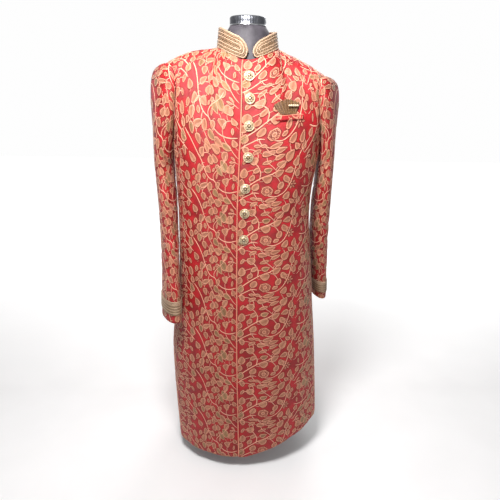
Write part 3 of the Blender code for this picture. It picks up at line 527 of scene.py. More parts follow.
def top_point(face, side, share):
    """A point of the neckline, or beyond its share of the way, of the shoulder seam."""
    if share <= NECK_SHARE:
        angle = share / NECK_SHARE * math.pi / 2
        middle = NECK_PIT_HEIGHT if face == "front" else NECK_BACK_HEIGHT
        depth = NECK_FRONT_DEPTH if face == "front" else -NECK_BACK_DEPTH
        height = middle + (NECK_SIDE_HEIGHT - middle) * math.sin(angle) ** 1.6
        return np.array([side * NECK_WIDTH * math.sin(angle), -depth * math.cos(angle), height])
    way = (share - NECK_SHARE) / (1 - NECK_SHARE)
    start = np.array([NECK_WIDTH, 0.0, NECK_SIDE_HEIGHT])
    tip = np.array(LEFT_SHOULDER_TIP if side > 0 else RIGHT_SHOULDER_TIP)
    point = start + (tip - start) * way
    crest = LEFT_SHOULDER_CREST if side > 0 else RIGHT_SHOULDER_CREST
    point[2] += crest * math.sin(math.pi * way)
    return point * (side, 1, 1)


def yoke_point(face, side, share, rise):
    """A point of the body above the chest line; rise runs from it to the neckline or shoulder seam."""
    if share < 0:
        side, share = -side, -share
    facing = -1.0 if face == "front" else 1.0
    # The armhole cuts into the side, so the columns crowd together beside it
    cut = ARMHOLE_CUT * max(math.sin(math.pi * min(rise, 1.0) ** 0.85), 0.0) ** 0.75
    share *= 1 - cut * share**1.5
    step = 0.01
    low = skirt_point(face, side, share, CHEST, False)
    slope = (low - skirt_point(face, side, share, CHEST - step, False)) / step
    climb, run, lift, spread = read_table(YOKE, share, True)
    arrive = np.array([side * spread, -facing * run, lift])
    return hermite(low, slope * climb, top_point(face, side, share), arrive, rise)


def hem_height(face, side, share):
    middle = HEM_FRONT if face == "front" else HEM_BACK
    own = HEM_LEFT_SIDE if side > 0 else HEM_RIGHT_SIDE
    other = HEM_RIGHT_SIDE if side > 0 else HEM_LEFT_SIDE
    share = np.asarray(share, float)
    return middle + (np.where(share > 0, own, other) - middle) * np.abs(share) ** HEM_CURVE


def body_point(face, side, share, level):
    """A point of the coat's outer face. Level is 0 at the hem, 1 at the chest line, 2 at the top."""
    if level > 1:
        return yoke_point(face, side, share, level - 1)
    hem = float(hem_height(face, side, share))
    return skirt_point(face, side, share, hem + (CHEST - hem) * level)


def armhole_point(side, turn):
    """The armhole's outer edge: turn 0 is the underarm, 0.25 the front, 0.5 the shoulder, 0.75 the back."""
    if turn <= 0.5:
        return yoke_point("front", side, 1.0, 2 * turn)
    return yoke_point("back", side, 1.0, 2 - 2 * turn)


def sleeve_ring(which, turn, height):
    """A point of the hanging sleeve at a height: turn runs from its inner side to the front and round."""
    side = 1 if which == "left" else -1
    out, forward, half_width, half_depth, turned_in = read_table(SLEEVES[which], height)
    angle = 2 * math.pi * turn
    across = -half_width * math.copysign(abs(math.cos(angle)) ** 0.9, math.cos(angle))
    ahead = half_depth * math.sin(angle)
    swing = math.radians(turned_in)
    x = out + across * math.cos(swing) - ahead * math.sin(swing)
    y = forward + ahead * math.cos(swing) + across * math.sin(swing)
    return np.array([side * x, -y, height])


def sleeve_point(which, turn, level):
    """A point of the sleeve: level 0 is the armhole, 1 the foot of the sleeve head, 2 the cuff edge."""
    side = 1 if which == "left" else -1
    if level <= 1:
        edge = armhole_point(side, turn % 1.0)
        angle = 2 * math.pi * turn
        up = (1 - math.cos(angle)) / 2
        start = edge + np.array([side * SEAM * 1.5, 0.0, -SEAM * (1 - up)])
        leave = np.array([side * (0.012 + 0.115 * up**2), -0.06 * math.sin(angle), -0.02 + 0.03 * up])
        arrive = np.array([0.0, 0.0, -0.02 - 0.30 * up])
        return hermite(start, leave, sleeve_ring(which, turn, SLEEVE_TOP), arrive, level)
    bottom = SLEEVES[which][-1][0]
    return sleeve_ring(which, turn, SLEEVE_TOP + (bottom - SLEEVE_TOP) * (level - 1))


def grid_normals(grid, toward, wrap=False):
    """A normal at each point of a grid of points, turned to the side where toward points."""
    down = np.gradient(grid, axis=0)
    if wrap:
        around = np.concatenate([grid[:, -2:-1], grid, grid[:, 1:2]], axis=1)
        across = (around[:, 2:] - around[:, :-2]) / 2
    else:
        across = np.gradient(grid, axis=1)
    normals = np.cross(across, down)
    normals /= np.maximum(np.linalg.norm(normals, axis=2, keepdims=True), 1e-12)
    turned = np.sum(normals * toward, axis=2, keepdims=True)
    return normals * np.where(turned.sum() < 0, -1.0, 1.0)


class Panel:
    """A cloth panel: a fine grid of outer points, their normals and their places on the flat cloth."""

    def __init__(self, name, grid, flat, toward, wrap=False):
        self.name = name
        self.wrap = wrap
        normals = grid_normals(grid, toward, wrap)
        self.flat = flat
        self.grid = grid + normals * self.relief()[..., None]
        self.normals = grid_normals(self.grid, toward, wrap)

    def relief(self):
        """How far the listed creases move each point along its normal."""
        s, t = self.flat[..., 0], self.flat[..., 1]
        total = np.zeros(s.shape)
        for name, at_s, at_t, angle, half_length, half_width, depth in CREASES:
            if name == self.name:
                turn = math.radians(angle)
                along = (s - at_s) * math.cos(turn) + (t - at_t) * math.sin(turn)
                across = (t - at_t) * math.cos(turn) - (s - at_s) * math.sin(turn)
                bend = across - 0.12 * along**2 / half_length
                total += depth * np.exp(-((bend / half_width) ** 2) - (along / half_length) ** 4)
        return total * self.fade()

    def fade(self):
        """Creases fade out at the seams."""
        columns = np.linspace(0, 1, self.flat.shape[1])
        edge = np.ones_like(columns) if self.wrap else smooth_step((1 - columns) / 0.08)
        rows = smooth_step(np.linspace(0, 1, self.flat.shape[0]) / 0.03)
        return rows[:, None] * edge[None, :]

    def at(self, row, column, height):
        """Points at grid places and heights above the cloth."""
        rows, columns = self.grid.shape[:2]
        row = np.clip(row, 0, rows - 1.000001)
        column = np.clip(column, 0, columns - 1.000001)
        i, j = row.astype(int), column.astype(int)
        a, b = (row - i)[:, None], (column - j)[:, None]
        found = []
        for values in (self.grid, self.normals):
            near = values[i, j] * (1 - b) + values[i, j + 1] * b
            far = values[i + 1, j] * (1 - b) + values[i + 1, j + 1] * b
            found.append(near * (1 - a) + far * a)
        return found[0] + found[1] * height[:, None]


def body_levels():
    """Rows from the hem to the top, with close ones beside the shoulder seam."""
    skirt = np.arange(SKIRT_ROWS) / SKIRT_ROWS
    yoke = 1 + np.arange(YOKE_ROWS) / YOKE_ROWS
    return np.concatenate([skirt, yoke, [1.987, 1.994, 1.9993]])


def body_columns(columns):
    """Column places from 0 to 1, with close ones beside the side seam and the armhole."""
    return np.concatenate([np.linspace(0, 0.965, columns - 5), [0.978, 0.987, 0.994, 0.998, 1.0]])


def seam_dip(distance):
    """Cloth dips towards a seam."""
    return -SEAM_DIP * np.exp(-((distance / SEAM_ROLL) ** 2))


def laps_at(levels):
    """How far the left front's edge lies past the middle at each level."""
    return np.array([read_table(LAPS, level)[0] for level in levels])


def cloth_level(t, hem=0.0):
    """The level of a height up the flat cloth."""
    return np.where(t > CHEST, 1 + (t - CHEST) / YOKE_CLOTH, (t - hem) / (CHEST - hem))


class BodyPanel(Panel):
    """A quarter of the body, from its free edge or the middle to the side seam."""

    def __init__(self, face, side, columns):
        self.face, self.side = face, side
        self.levels = body_levels()
        grid, flat, self.lengths, self.firsts = [], [], [], []
        for level in self.levels:
            height = CHEST if level > 1 else body_point(face, side, 1.0, level)[2]
            length = girth(face, side, height)[0][-1]
            start = 0.0
            if face == "front":
                start = (-laps_at([level])[0] if side > 0 else -UNDERLAP) / length
            shares = start + (1 - SEAM / 2 / length - start) * body_columns(columns)
            row = np.array([body_point(face, side, share, level) for share in shares])
            if level > 1:
                along = np.linalg.norm(np.diff(row, axis=0), axis=1)[shares[1:] > 0]
                length = along.sum()
            up = row[:, 2] if level <= 1 else np.full(columns, CHEST + YOKE_CLOTH * (level - 1))
            grid.append(row)
            flat.append(np.stack([shares * length, up], axis=1))
            self.lengths.append(length)
            self.firsts.append(start)
        grid, flat = np.array(grid), np.array(flat)
        toward = grid * (1.0, 1.0, 0.0)
        toward[..., 2] = 0.3 * np.linalg.norm(toward[..., :2], axis=-1)
        name = f"{face}_{'left' if side > 0 else 'right'}"
        if face == "front" and side < 0:
            laps = laps_at(self.levels)[:, None]
            dip = LAP_DIP * (1 - smooth_step((flat[..., 0] - laps - LAP_CLEAR) / DIP_BLEND))
            grid = grid - grid_normals(grid, toward) * dip[..., None]
        super().__init__(name, grid, flat, toward)
        self.columns = columns

    def place(self, s, t):
        """Grid places of flat cloth coordinates."""
        lengths = np.array(self.lengths)
        level = cloth_level(t)
        for _ in range(4):
            share = s / np.interp(level, self.levels, lengths)
            level = cloth_level(t, hem_height(self.face, self.side, np.clip(share, -1, 1)))
        row = np.interp(level, self.levels, np.arange(len(self.levels)))
        start = np.interp(level, self.levels, np.array(self.firsts))
        column = np.interp((share - start) / (1 - start), body_columns(self.columns), np.arange(self.columns))
        return row, column

    def relief(self):
        s, t = self.flat[..., 0], self.flat[..., 1]
        side = seam_dip(np.array(self.lengths)[:, None] - s)
        ends = smooth_step((s / np.array(self.lengths)[:, None] - NECK_SHARE) / 0.04)
        return super().relief() + side + seam_dip(CHEST + YOKE_CLOTH - t) * ends


class SleevePanel(Panel):
    """A whole sleeve: its columns start and end at the underarm line, its rows run down from the armhole."""

    def __init__(self, which):
        self.which = which
        self.bottom = SLEEVES[which][-1][0]
        turns = np.linspace(0, 1, SLEEVE_AROUND + 1)
        levels = [0.0, 0.006, 0.014, 0.025] + [k / HEAD_ROWS for k in range(2, HEAD_ROWS)]
        levels = np.array(levels + [1 + k / ARM_ROWS for k in range(ARM_ROWS + 1)])
        grid = np.array([[sleeve_point(which, turn, level) for turn in turns] for level in levels])
        head = grid[levels <= 1]
        self.head_length = np.linalg.norm(np.diff(head, axis=0), axis=2).sum(axis=0)
        rings = np.linalg.norm(np.diff(grid, axis=1), axis=2).sum(axis=1)
        self.girths = np.where(levels < 1, rings[len(head) - 1], rings)
        self.levels = levels
        up = np.where(
            levels[:, None] < 1,
            SLEEVE_TOP + self.head_length[None, :] * (1 - levels[:, None]),
            SLEEVE_TOP + (self.bottom - SLEEVE_TOP) * (levels[:, None] - 1),
        )
        flat = np.stack([(turns[None, :] - 0.5) * self.girths[:, None], up], axis=2)
        middle = grid.mean(axis=1, keepdims=True)
        super().__init__(f"sleeve_{which}", grid, flat, grid - middle, wrap=True)

    def place(self, s, t):
        low = t <= SLEEVE_TOP
        level = np.where(low, 1 + (SLEEVE_TOP - t) / (SLEEVE_TOP - self.bottom), 1.0)
        turn = np.clip(0.5 + s / np.interp(level, self.levels, self.girths), 0, 1)
        head = np.interp(turn * SLEEVE_AROUND, np.arange(SLEEVE_AROUND + 1), self.head_length)
        level = np.where(low, level, 1 - (t - SLEEVE_TOP) / head)
        return np.interp(level, self.levels, np.arange(len(self.levels))), turn * SLEEVE_AROUND

    def ring(self, height, lift, samples):
        """Points all round the sleeve at a height, lifted off the cloth."""
        turns = np.linspace(0, 1, samples, endpoint=False)
        level = 1 + (SLEEVE_TOP - height) / (SLEEVE_TOP - self.bottom)
        row = np.interp(np.full(samples, level), self.levels, np.arange(len(self.levels)))
        return self.at(row, turns * SLEEVE_AROUND, np.full(samples, lift))

    def relief(self):
        along = self.levels[:, None] * self.head_length[None, :]
        total = super().relief() + seam_dip(along)
        if self.which == "right":
            turns = np.linspace(-1, 1, SLEEVE_AROUND + 1)
            from_inside = (1 - np.abs(turns))[None, :] * self.girths[:, None] / 2
            from_waist = self.flat[..., 1] - SWELL_HEIGHT
            total += SWELL * np.exp(-((from_inside / SWELL_WIDTH) ** 2) - (from_waist / SWELL_REACH) ** 4)
        return total


def running_length(path):
    """The length of a path so far, at each of its points."""
    return np.concatenate([[0.0], np.cumsum(np.linalg.norm(np.diff(path, axis=0), axis=1))])


def quads(rows, columns, closed=False, wrapped=False):
    """Faces between rows of points; closed joins each row's ends, wrapped the last row to the first."""
    faces = []
    for row in range(rows if wrapped else rows - 1):
        low, high = row * columns, (row + 1) % rows * columns
        for k in range(columns if closed else columns - 1):
            after = (k + 1) % columns
            faces.append((low + k, low + after, high + after, high + k))
    return faces


def mesh_object(name, points, faces, materials, which=None, uv=None, close=False):
    """A mesh from points and faces, with a material and a UV place for each."""
    mesh = bpy.data.meshes.new(name)
    mesh.from_pydata(np.asarray(points, float).tolist(), [], faces)
    for item in materials:
        mesh.materials.append(item)
    if which is not None:
        mesh.polygons.foreach_set("material_index", np.asarray(which, np.int32))
    if uv is not None:
        layer = mesh.uv_layers.new(name="cloth")
        corner = np.empty(len(mesh.loops), np.int32)
        mesh.loops.foreach_get("vertex_index", corner)
        layer.data.foreach_set("uv", np.asarray(uv, np.float32)[corner].ravel())
    if close:
        work = bmesh.new()
        work.from_mesh(mesh)
        bmesh.ops.recalc_face_normals(work, faces=work.faces)
        if work.calc_volume(signed=True) < 0:
            bmesh.ops.reverse_faces(work, faces=work.faces)
        work.to_mesh(mesh)
        work.free()
    mesh.shade_smooth()
    made = bpy.data.objects.new(name, mesh)
    bpy.context.scene.collection.objects.link(made)
    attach(made, "root")
    return made


def wall_mesh(name, outer, inner, flat, materials, facing=lambda row: False):
    """A closed wall of cloth: brocade outside and on its edges, lining inside but for its facings."""
    rows, columns = outer.shape[:2]
    count = rows * columns
    points = np.concatenate([outer.reshape(-1, 3), inner.reshape(-1, 3)])
    uv = np.concatenate([flat.reshape(-1, 2)] * 2)
    faces = quads(rows, columns)
    which = [0] * len(faces)
    faces += [tuple(count + corner for corner in reversed(face)) for face in faces]
    for row in range(rows - 1):
        which += [0 if facing(row) else 1] * (columns - 1)
    for row in (0, (rows - 1) * columns):
        for near in range(row, row + columns - 1):
            faces.append((near, count + near, count + near + 1, near + 1))
    for row in range(0, count - columns, columns):
        for edge in (row, row + columns - 1):
            faces.append((edge, edge + columns, count + edge + columns, count + edge))
    which += [0] * (len(faces) - len(which))
    return mesh_object(name, points, faces, materials, which, uv, close=True)


# The places of the threads in the list of stitching materials
OUTLINE_SHADOW_BAND, RIM_BAND, LEAF_BAND, OLIVE_BAND, VINE_BAND = range(5)


class Stitching:
    """Raised stitching on flat cloth: places (s, t, height), thread coordinates, faces and their kinds."""

    def __init__(self):
        self.places, self.threads, self.faces, self.kinds = [], [], [], []
        self.count = 0

    def add(self, places, threads, faces, kinds):
        self.places.append(places)
        self.threads.append(threads)
        self.faces += [tuple(self.count + corner for corner in face) for face in faces]
        self.kinds += kinds
        self.count += len(places)

    def leaf(self, s, t, angle, length, width, kind, lift=0.0):
        """One leaf: a dark contour of outline and painted shadow, a raised rim and a filled middle."""
        if kind in ("rosette", "star"):
            self.flower(s, t, length, kind, lift)
            return
        count = 8 if kind in ("petal", "dot") else 12
        phi = np.linspace(0, 2 * math.pi, count, endpoint=False)
        x, y = np.cos(phi), np.sin(phi)
        if kind in ("leaf", "olive", "heart"):
            waver = 1 + WAVER * np.sin(3 * phi + 900 * (s + t))
            x, y = x * waver, y * waver
        if kind in ("leaf", "olive"):
            y = y * (1 - 0.28 * x) * (1 - 0.42 * np.maximum(x, 0) ** 3)
        elif kind == "heart":
            y = y * (1 - 0.40 * x)
            x = x + 0.24 * np.exp(-(((phi - math.pi) / 0.42) ** 2))
        elif kind == "petal":
            y = y * np.abs(y) ** 0.5
        half_length, half_width = length / 2, width / 2
        if kind == "round":
            scallop = 1 + 0.05 * np.cos(6 * phi)
            x, y = x * scallop, y * scallop
        turn = math.radians(angle)
        rim = min(RIM, 0.28 * half_width)
        insets = (-OUTLINE_SHADOW_WIDTH, 0.0, 0.9 * rim, 2.0 * rim)
        places, threads = [], []
        for inset, height in zip(insets, STITCH_HEIGHTS):
            local_x = x * (half_length - inset)
            local_y = y * (half_width - inset)
            across = s + local_x * math.cos(turn) - local_y * math.sin(turn)
            up = t + local_x * math.sin(turn) + local_y * math.cos(turn)
            places.append(np.stack([across, up, np.full(count, height + lift)], axis=1))
            threads.append(np.stack([local_x, local_y], axis=1))
        places.append(np.array([[s, t, STITCH_HEIGHTS[4] + lift]]))
        threads.append(np.zeros((1, 2)))
        faces = quads(4, count, closed=True)
        faces += [(3 * count + k, 3 * count + (k + 1) % count, 4 * count) for k in range(count)]
        fill = {"olive": OLIVE_BAND, "dot": RIM_BAND}.get(kind, LEAF_BAND)
        kinds = [band for band in (OUTLINE_SHADOW_BAND, RIM_BAND, RIM_BAND, fill) for _ in range(count)]
        self.add(np.concatenate(places), np.concatenate(threads), faces, kinds)

    def stem(self, s, t, angle, length, number):
        """A thin stem that leaves the base of a leaf and bends to one side."""
        reach = STEM_LENGTHS[number % len(STEM_LENGTHS)]
        bend = STEM_BENDS[number % len(STEM_BENDS)]
        way = math.radians(angle) + math.pi
        s, t = s + 0.36 * length * math.cos(way), t + 0.36 * length * math.sin(way)
        points = [(s, t)]
        for part in range(3):
            turn = way + bend * part
            s, t = s + reach / 3 * math.cos(turn), t + reach / 3 * math.sin(turn)
            points.append((s, t))
        self.vine(STEM_WIDTH, points)

    def flower(self, s, t, size, kind, lift):
        """A rosette of rings and dots, or a star of small petals."""
        if kind == "rosette":
            self.leaf(s, t, 15, size, size, "round", lift)
            self.leaf(s, t, 0, size * 0.42, size * 0.42, "round", lift + 0.0004)
            for k in range(8):
                turn = 2 * math.pi * k / 8
                reach = size * 0.35
                spot = s + reach * math.cos(turn), t + reach * math.sin(turn)
                self.leaf(*spot, 0, 0.0022, 0.0022, "dot", lift + 0.0004)
            return
        for k in range(7):
            turn = 2 * math.pi * k / 7
            reach = size * 0.34
            at_s, at_t = s + reach * math.cos(turn), t + reach * math.sin(turn)
            self.leaf(at_s, at_t, math.degrees(turn), size * 0.36, size * 0.17, "petal", lift)
        self.leaf(s, t, 0, size * 0.20, size * 0.20, "dot", lift + 0.0003)

    def vine(self, width, points):
        """A cord along a smooth path, with a thin dark line of painted shadow on each side of it."""
        points = np.array(points, float)
        lengths = running_length(points)
        slopes = np.gradient(points, lengths, axis=0)
        steps = max(int(lengths[-1] / VINE_STEP), 3)
        at = np.linspace(0, lengths[-1], steps + 1)
        index = np.clip(np.searchsorted(lengths, at) - 1, 0, len(points) - 2)
        span = (lengths[index + 1] - lengths[index])[:, None]
        way = (at - lengths[index])[:, None] / span
        leave, arrive = slopes[index] * span, slopes[index + 1] * span
        path = hermite(points[index], leave, points[index + 1], arrive, way)
        along = np.gradient(path, axis=0)
        along /= np.linalg.norm(along, axis=1, keepdims=True)
        side = np.stack([-along[:, 1], along[:, 0]], axis=1)
        taper = np.minimum(1.0, VINE_TIP + np.minimum(at, at[-1] - at) / VINE_TAPER)[:, None]
        half = width / 2 * taper
        offsets = (-half - VINE_SHADOW_EDGE, -half, 0 * half, half, half + VINE_SHADOW_EDGE)
        places, threads = [], []
        for offset, height in zip(offsets, VINE_HEIGHTS):
            spot = path + side * offset
            places.append(np.concatenate([spot, np.full((len(spot), 1), height)], axis=1))
            threads.append(np.concatenate([at[:, None], offset + 0 * at[:, None]], axis=1))
        faces = quads(len(offsets), len(at))
        bands = (OUTLINE_SHADOW_BAND, VINE_BAND, VINE_BAND, OUTLINE_SHADOW_BAND)
        kinds = [band for band in bands for _ in range(len(at) - 1)]
        self.add(np.concatenate(places), np.concatenate(threads), faces, kinds)


def stitch_cell(cell):
    """One cell of the repeat as arrays."""
    made = Stitching()
    for number, (s, t, angle, length, width, kind) in enumerate(LEAVES[cell]):
        size = LEAF_SCALE / 1000
        lift = LEAF_STEP * (number % LEAF_LIFTS)
        made.leaf(s / 1000, t / 1000, angle, length * size, width * size, kind, lift)
        if kind in ("leaf", "olive", "heart"):
            made.stem(s / 1000, t / 1000, angle, length * size, number)
    for width, points in VINES[cell]:
        made.vine(width / 1000, [(s / 1000, t / 1000) for s, t in points])
    faces = np.array([face if len(face) == 4 else (*face, -1) for face in made.faces])
    return np.concatenate(made.places), np.concatenate(made.threads), faces, np.array(made.kinds)


def embroider(panel, tiles, low, high, flip, edge=0, least=0.0):
    """Lays tiles of the repeat over a panel. A tile is (cell, s of its start, shift up the cloth).

    Edge is -1 where the pattern starts at the left front's edge, 1 where it starts beside that edge
    on the right front, and least is how near to the edge it may come.
    """
    all_places, all_threads, all_faces, all_kinds = [], [], [], []
    count = 0
    for cell, start, shift in tiles:
        places, threads, faces, kinds = CELLS[cell]
        first = int(math.floor((low - shift) / REPEAT)) - 1
        last = int(math.ceil((high - shift) / REPEAT)) + 1
        for turn in range(first, last):
            moved = places + (start, shift + turn * REPEAT, 0.0)
            all_places.append(moved)
            all_threads.append(threads)
            all_faces.append(np.where(faces >= 0, faces + count, -1))
            all_kinds.append(kinds)
            count += len(places)
    places = np.concatenate(all_places)
    threads = np.concatenate(all_threads)
    faces = np.concatenate(all_faces)
    kinds = np.concatenate(all_kinds)
    if edge:
        samples = np.linspace(0, 2, 81)
        laps = np.interp(cloth_level(places[:, 1]), samples, laps_at(samples))
        near = 1 - smooth_step(places[:, 0] / CELL)
        places[:, 0] += edge * laps * near
        places[:, 0] = np.maximum(places[:, 0], edge * laps + least)
    return lay(f"pattern_{panel.name}", panel, places, threads, faces, kinds, flip)


def over_welt(points):
    """How much higher the pattern lies at these points, because it runs on over the pocket's welt."""
    across = points[:, 0] - POCKET_X
    up = points[:, 2] - POCKET_HEIGHT - WELT_SLOPE * across / POCKET_WIDTH
    on_it = (np.abs(across) < POCKET_WIDTH / 2) & (np.abs(up) < WELT_WIDTH / 2) & (points[:, 1] < 0)
    return np.where(on_it, PATCH_LIFT + WELT_WALL, 0.0)


def lay(name, panel, places, threads, corners, kinds, flip):
    """Fits flat stitching onto a panel and cuts it off at the panel's edges.

    Corners has four numbers a face, the last of them -1 for a triangle.
    """
    row, column = panel.place(places[:, 0], places[:, 1])
    rows, columns = panel.grid.shape[:2]
    row, column = np.clip(row, 0, rows - 1), np.clip(column, 0, columns - 1)
    filled = np.where(corners >= 0, corners, corners[:, :1])
    a, b = row[filled], column[filled]
    turned = np.roll(a, -1, axis=1) * b - a * np.roll(b, -1, axis=1)
    keep = np.abs(turned.sum(axis=1)) > 1e-4
    corners, kinds = corners[keep], kinds[keep]
    used = np.unique(corners[corners >= 0])
    lookup = np.full(len(places) + 1, -1)
    lookup[used] = np.arange(len(used))
    corners = np.where(corners >= 0, lookup[corners], -1)
    points = panel.at(row[used], column[used], places[used, 2])
    points = panel.at(row[used], column[used], places[used, 2] + over_welt(points))
    if flip:
        corners = np.where((corners[:, 3:] >= 0), corners[:, ::-1], corners[:, [2, 1, 0, 3]])
    faces = [tuple(face) if face[3] >= 0 else tuple(face[:3]) for face in corners.tolist()]
    return mesh_object(name, points, faces, STITCHES, kinds, threads[used])


def node(tree, kind, ins=None, **settings):
    """A node with its settings and the values of its unlinked inputs."""
    made = tree.nodes.new(kind)
    for key, value in settings.items():
        setattr(made, key, value)
    for socket, value in (ins or {}).items():
        made.inputs[socket].default_value = value
    return made


def new_material(name, roughness, metallic=0.0, sheen=0.0, coat=0.0):
    """A Principled material whose constant values are set on its own sockets."""
    made = bpy.data.materials.new(name)
    made.use_nodes = True
    shader = made.node_tree.nodes["Principled BSDF"]
    shader.inputs["Roughness"].default_value = roughness
    shader.inputs["Metallic"].default_value = metallic
    shader.inputs["Sheen Weight"].default_value = sheen
    shader.inputs["Sheen Roughness"].default_value = 0.4
    shader.inputs["Coat Weight"].default_value = coat
    shader.inputs["Specular IOR Level"].default_value = 0.5
    return made, made.node_tree, shader


def ramp(tree, source, stops):
    """A colour ramp fed by a socket; stops are (position, colour)."""
    made = tree.nodes.new("ShaderNodeValToRGB")
    while len(made.color_ramp.elements) < len(stops):
        made.color_ramp.elements.new(0.5)
    for element, (position, colour) in zip(made.color_ramp.elements, stops):
        element.position = position
        element.color = (*colour, 1.0)
    tree.links.new(source, made.inputs["Fac"])
    return made.outputs["Color"]


def mix(tree, factor, one, two, blend="MIX"):
    made = tree.nodes.new("ShaderNodeMix")
    made.data_type = "RGBA"
    made.blend_type = blend
    for socket, value in ((made.inputs[0], factor), (made.inputs[6], one), (made.inputs[7], two)):
        if isinstance(value, bpy.types.NodeSocket):
            tree.links.new(value, socket)
        elif isinstance(value, tuple):
            socket.default_value = (*value, 1.0)
        else:
            socket.default_value = value
    return made.outputs[2]


def shade(tree, tone, dark, source, low, high):
    """Mixes a dark colour into a tone; low and high are a value of the source and the share of dark there."""
    stops = [(value, (share,) * 3) for value, share in (low, high)]
    return mix(tree, ramp(tree, source, stops), tone, dark)


def uv_of(tree):
    return node(tree, "ShaderNodeUVMap", uv_map="cloth").outputs["UV"]


def scaled(tree, vector, scale, turn=0.0):
    made = node(tree, "ShaderNodeMapping", ins={"Scale": scale, "Rotation": (0.0, 0.0, turn)})
    tree.links.new(vector, made.inputs["Vector"])
    return made.outputs["Vector"]


def noise(tree, vector, scale, detail=2.0, roughness=0.5):
    made = node(tree, "ShaderNodeTexNoise", ins={"Scale": scale, "Detail": detail, "Roughness": roughness})
    tree.links.new(vector, made.inputs["Vector"])
    return made.outputs["Fac"]


# The period of a wave texture's bands at scale 1
WAVE_UNIT = 0.31416


def wave(tree, vector, period, distortion=0.0, direction="X"):
    """Bands with a given period in the vector's own unit."""
    values = {"Scale": WAVE_UNIT / period, "Distortion": distortion, "Detail": 1.0}
    made = node(tree, "ShaderNodeTexWave", values, wave_type="BANDS", bands_direction=direction)
    tree.links.new(vector, made.inputs["Vector"])
    return made.outputs["Fac"]


def bump(tree, shader, height, distance, strength=1.0):
    made = node(tree, "ShaderNodeBump", ins={"Distance": distance, "Strength": strength})
    tree.links.new(height, made.inputs["Height"])
    tree.links.new(made.outputs["Normal"], shader.inputs["Normal"])


def add(tree, one, two, kind="ADD"):
    made = node(tree, "ShaderNodeMath", operation=kind)
    for socket, value in zip(made.inputs, (one, two)):
        if isinstance(value, bpy.types.NodeSocket):
            tree.links.new(value, socket)
        else:
            socket.default_value = value
    return made.outputs["Value"]


def object_place(tree):
    return node(tree, "ShaderNodeTexCoord").outputs["Object"]


def brocade_ground(name, deep, bright):
    """Satin ground: fine ribs across the cloth, slubs, and broad uneven tone."""
    made, tree, shader = new_material(name, 0.50, sheen=0.03)
    uv, place = uv_of(tree), object_place(tree)
    broad = noise(tree, place, 34.0, 3.0)
    slub = noise(tree, scaled(tree, uv, (260.0, 1500.0, 1.0)), 1.0, 2.0)
    speck = noise(tree, scaled(tree, uv, (900.0, 900.0, 1.0)), 1.0, 1.0)
    tone = ramp(tree, broad, ((0.36, deep), (0.60, bright)))
    tone = shade(tree, tone, deep, slub, (0.35, 0.55), (0.65, 0.0))
    dark = tuple(channel * 0.45 for channel in deep)
    tone = shade(tree, tone, dark, speck, (0.58, 0.0), (0.72, 0.5))
    tree.links.new(tone, shader.inputs["Base Color"])
    rib = wave(tree, uv, 0.00085, 0.3, "Y")
    twill = wave(tree, scaled(tree, uv, (1.0, 1.0, 1.0), 0.9), 0.0011, 0.4)
    bump(tree, shader, add(tree, rib, twill), 0.00018, 0.7)
    return made


def thread_fill(name, light, dark, period, turn, metallic, roughness):
    """Satin stitches side by side, meeting along a leaf's middle vein, with painted shade in the grooves
    between the stitches and along the vein.
    """
    made, tree, shader = new_material(name, roughness, metallic, sheen=0.1)
    uv = uv_of(tree)
    split = node(tree, "ShaderNodeSeparateXYZ")
    tree.links.new(uv, split.inputs["Vector"])
    away = add(tree, split.outputs["Y"], 0.0, "ABSOLUTE")
    lean = add(tree, split.outputs["X"], add(tree, away, -turn, "MULTIPLY"))
    joined = node(tree, "ShaderNodeCombineXYZ")
    tree.links.new(lean, joined.inputs["X"])
    tree.links.new(split.outputs["Y"], joined.inputs["Y"])
    stitches = wave(tree, joined.outputs["Vector"], period, 0.6)
    vein = ramp(tree, away, ((0.0001, (0.5,) * 3), (0.0006, (0.0,) * 3)))
    ragged = noise(tree, object_place(tree), 420.0, 2.0)
    patch = noise(tree, object_place(tree), 38.0, 1.0)
    # Painted shade in the grooves between the stitches
    tone = shade(tree, light, dark, stitches, (0.12, 0.62), (0.55, 0.0))
    tone = shade(tree, tone, dark, ragged, (0.52, 0.0), (0.70, 0.6))
    tone = shade(tree, tone, dark, patch, (0.35, 0.0), (0.66, 0.55))
    # Painted shade along the sunken middle vein
    tone = mix(tree, vein, tone, tuple(channel * 0.7 for channel in dark))
    tree.links.new(tone, shader.inputs["Base Color"])
    bump(tree, shader, add(tree, stitches, add(tree, vein, -1.0, "MULTIPLY")), 0.00025, 0.9)
    return made


def thread_cord(name, light, dark, pitch, metallic, roughness):
    """A twisted cord: slanted plies along its length, with painted shade in the grooves between them."""
    made, tree, shader = new_material(name, roughness, metallic, sheen=0.15)
    uv = uv_of(tree)
    plies = wave(tree, scaled(tree, uv, (1.0, 1.0, 1.0), 0.75), pitch * 0.73, 0.2)
    worn = noise(tree, object_place(tree), 260.0, 2.0)
    patch = noise(tree, object_place(tree), 30.0, 1.0)
    # Painted shade in the grooves between the plies
    tone = shade(tree, light, dark, plies, (0.10, 0.75), (0.50, 0.0))
    tone = shade(tree, tone, dark, worn, (0.55, 0.0), (0.75, 0.5))
    tone = shade(tree, tone, dark, patch, (0.35, 0.0), (0.75, 0.30))
    tree.links.new(tone, shader.inputs["Base Color"])
    bump(tree, shader, plies, 0.0003, 0.9)
    return made


def pleated_silk(name, light, dark):
    """Silk with painted shade in the troughs between its pleats, and fine ribs across them."""
    made, tree, shader = new_material(name, 0.40, 0.15, sheen=0.1)
    uv = uv_of(tree)
    pleat = wave(tree, uv, FAN_PITCH, 0.8)
    rib = wave(tree, uv, 0.0009, 0.5, "Y")
    fleck = noise(tree, object_place(tree), 520.0, 2.0)
    # Painted shade in the troughs between the pleats
    tone = shade(tree, light, dark, pleat, (0.15, 0.60), (0.70, 0.0))
    tone = shade(tree, tone, dark, fleck, (0.42, 0.0), (0.60, 0.85))
    tree.links.new(tone, shader.inputs["Base Color"])
    bump(tree, shader, add(tree, rib, fleck), 0.0003, 0.9)
    return made


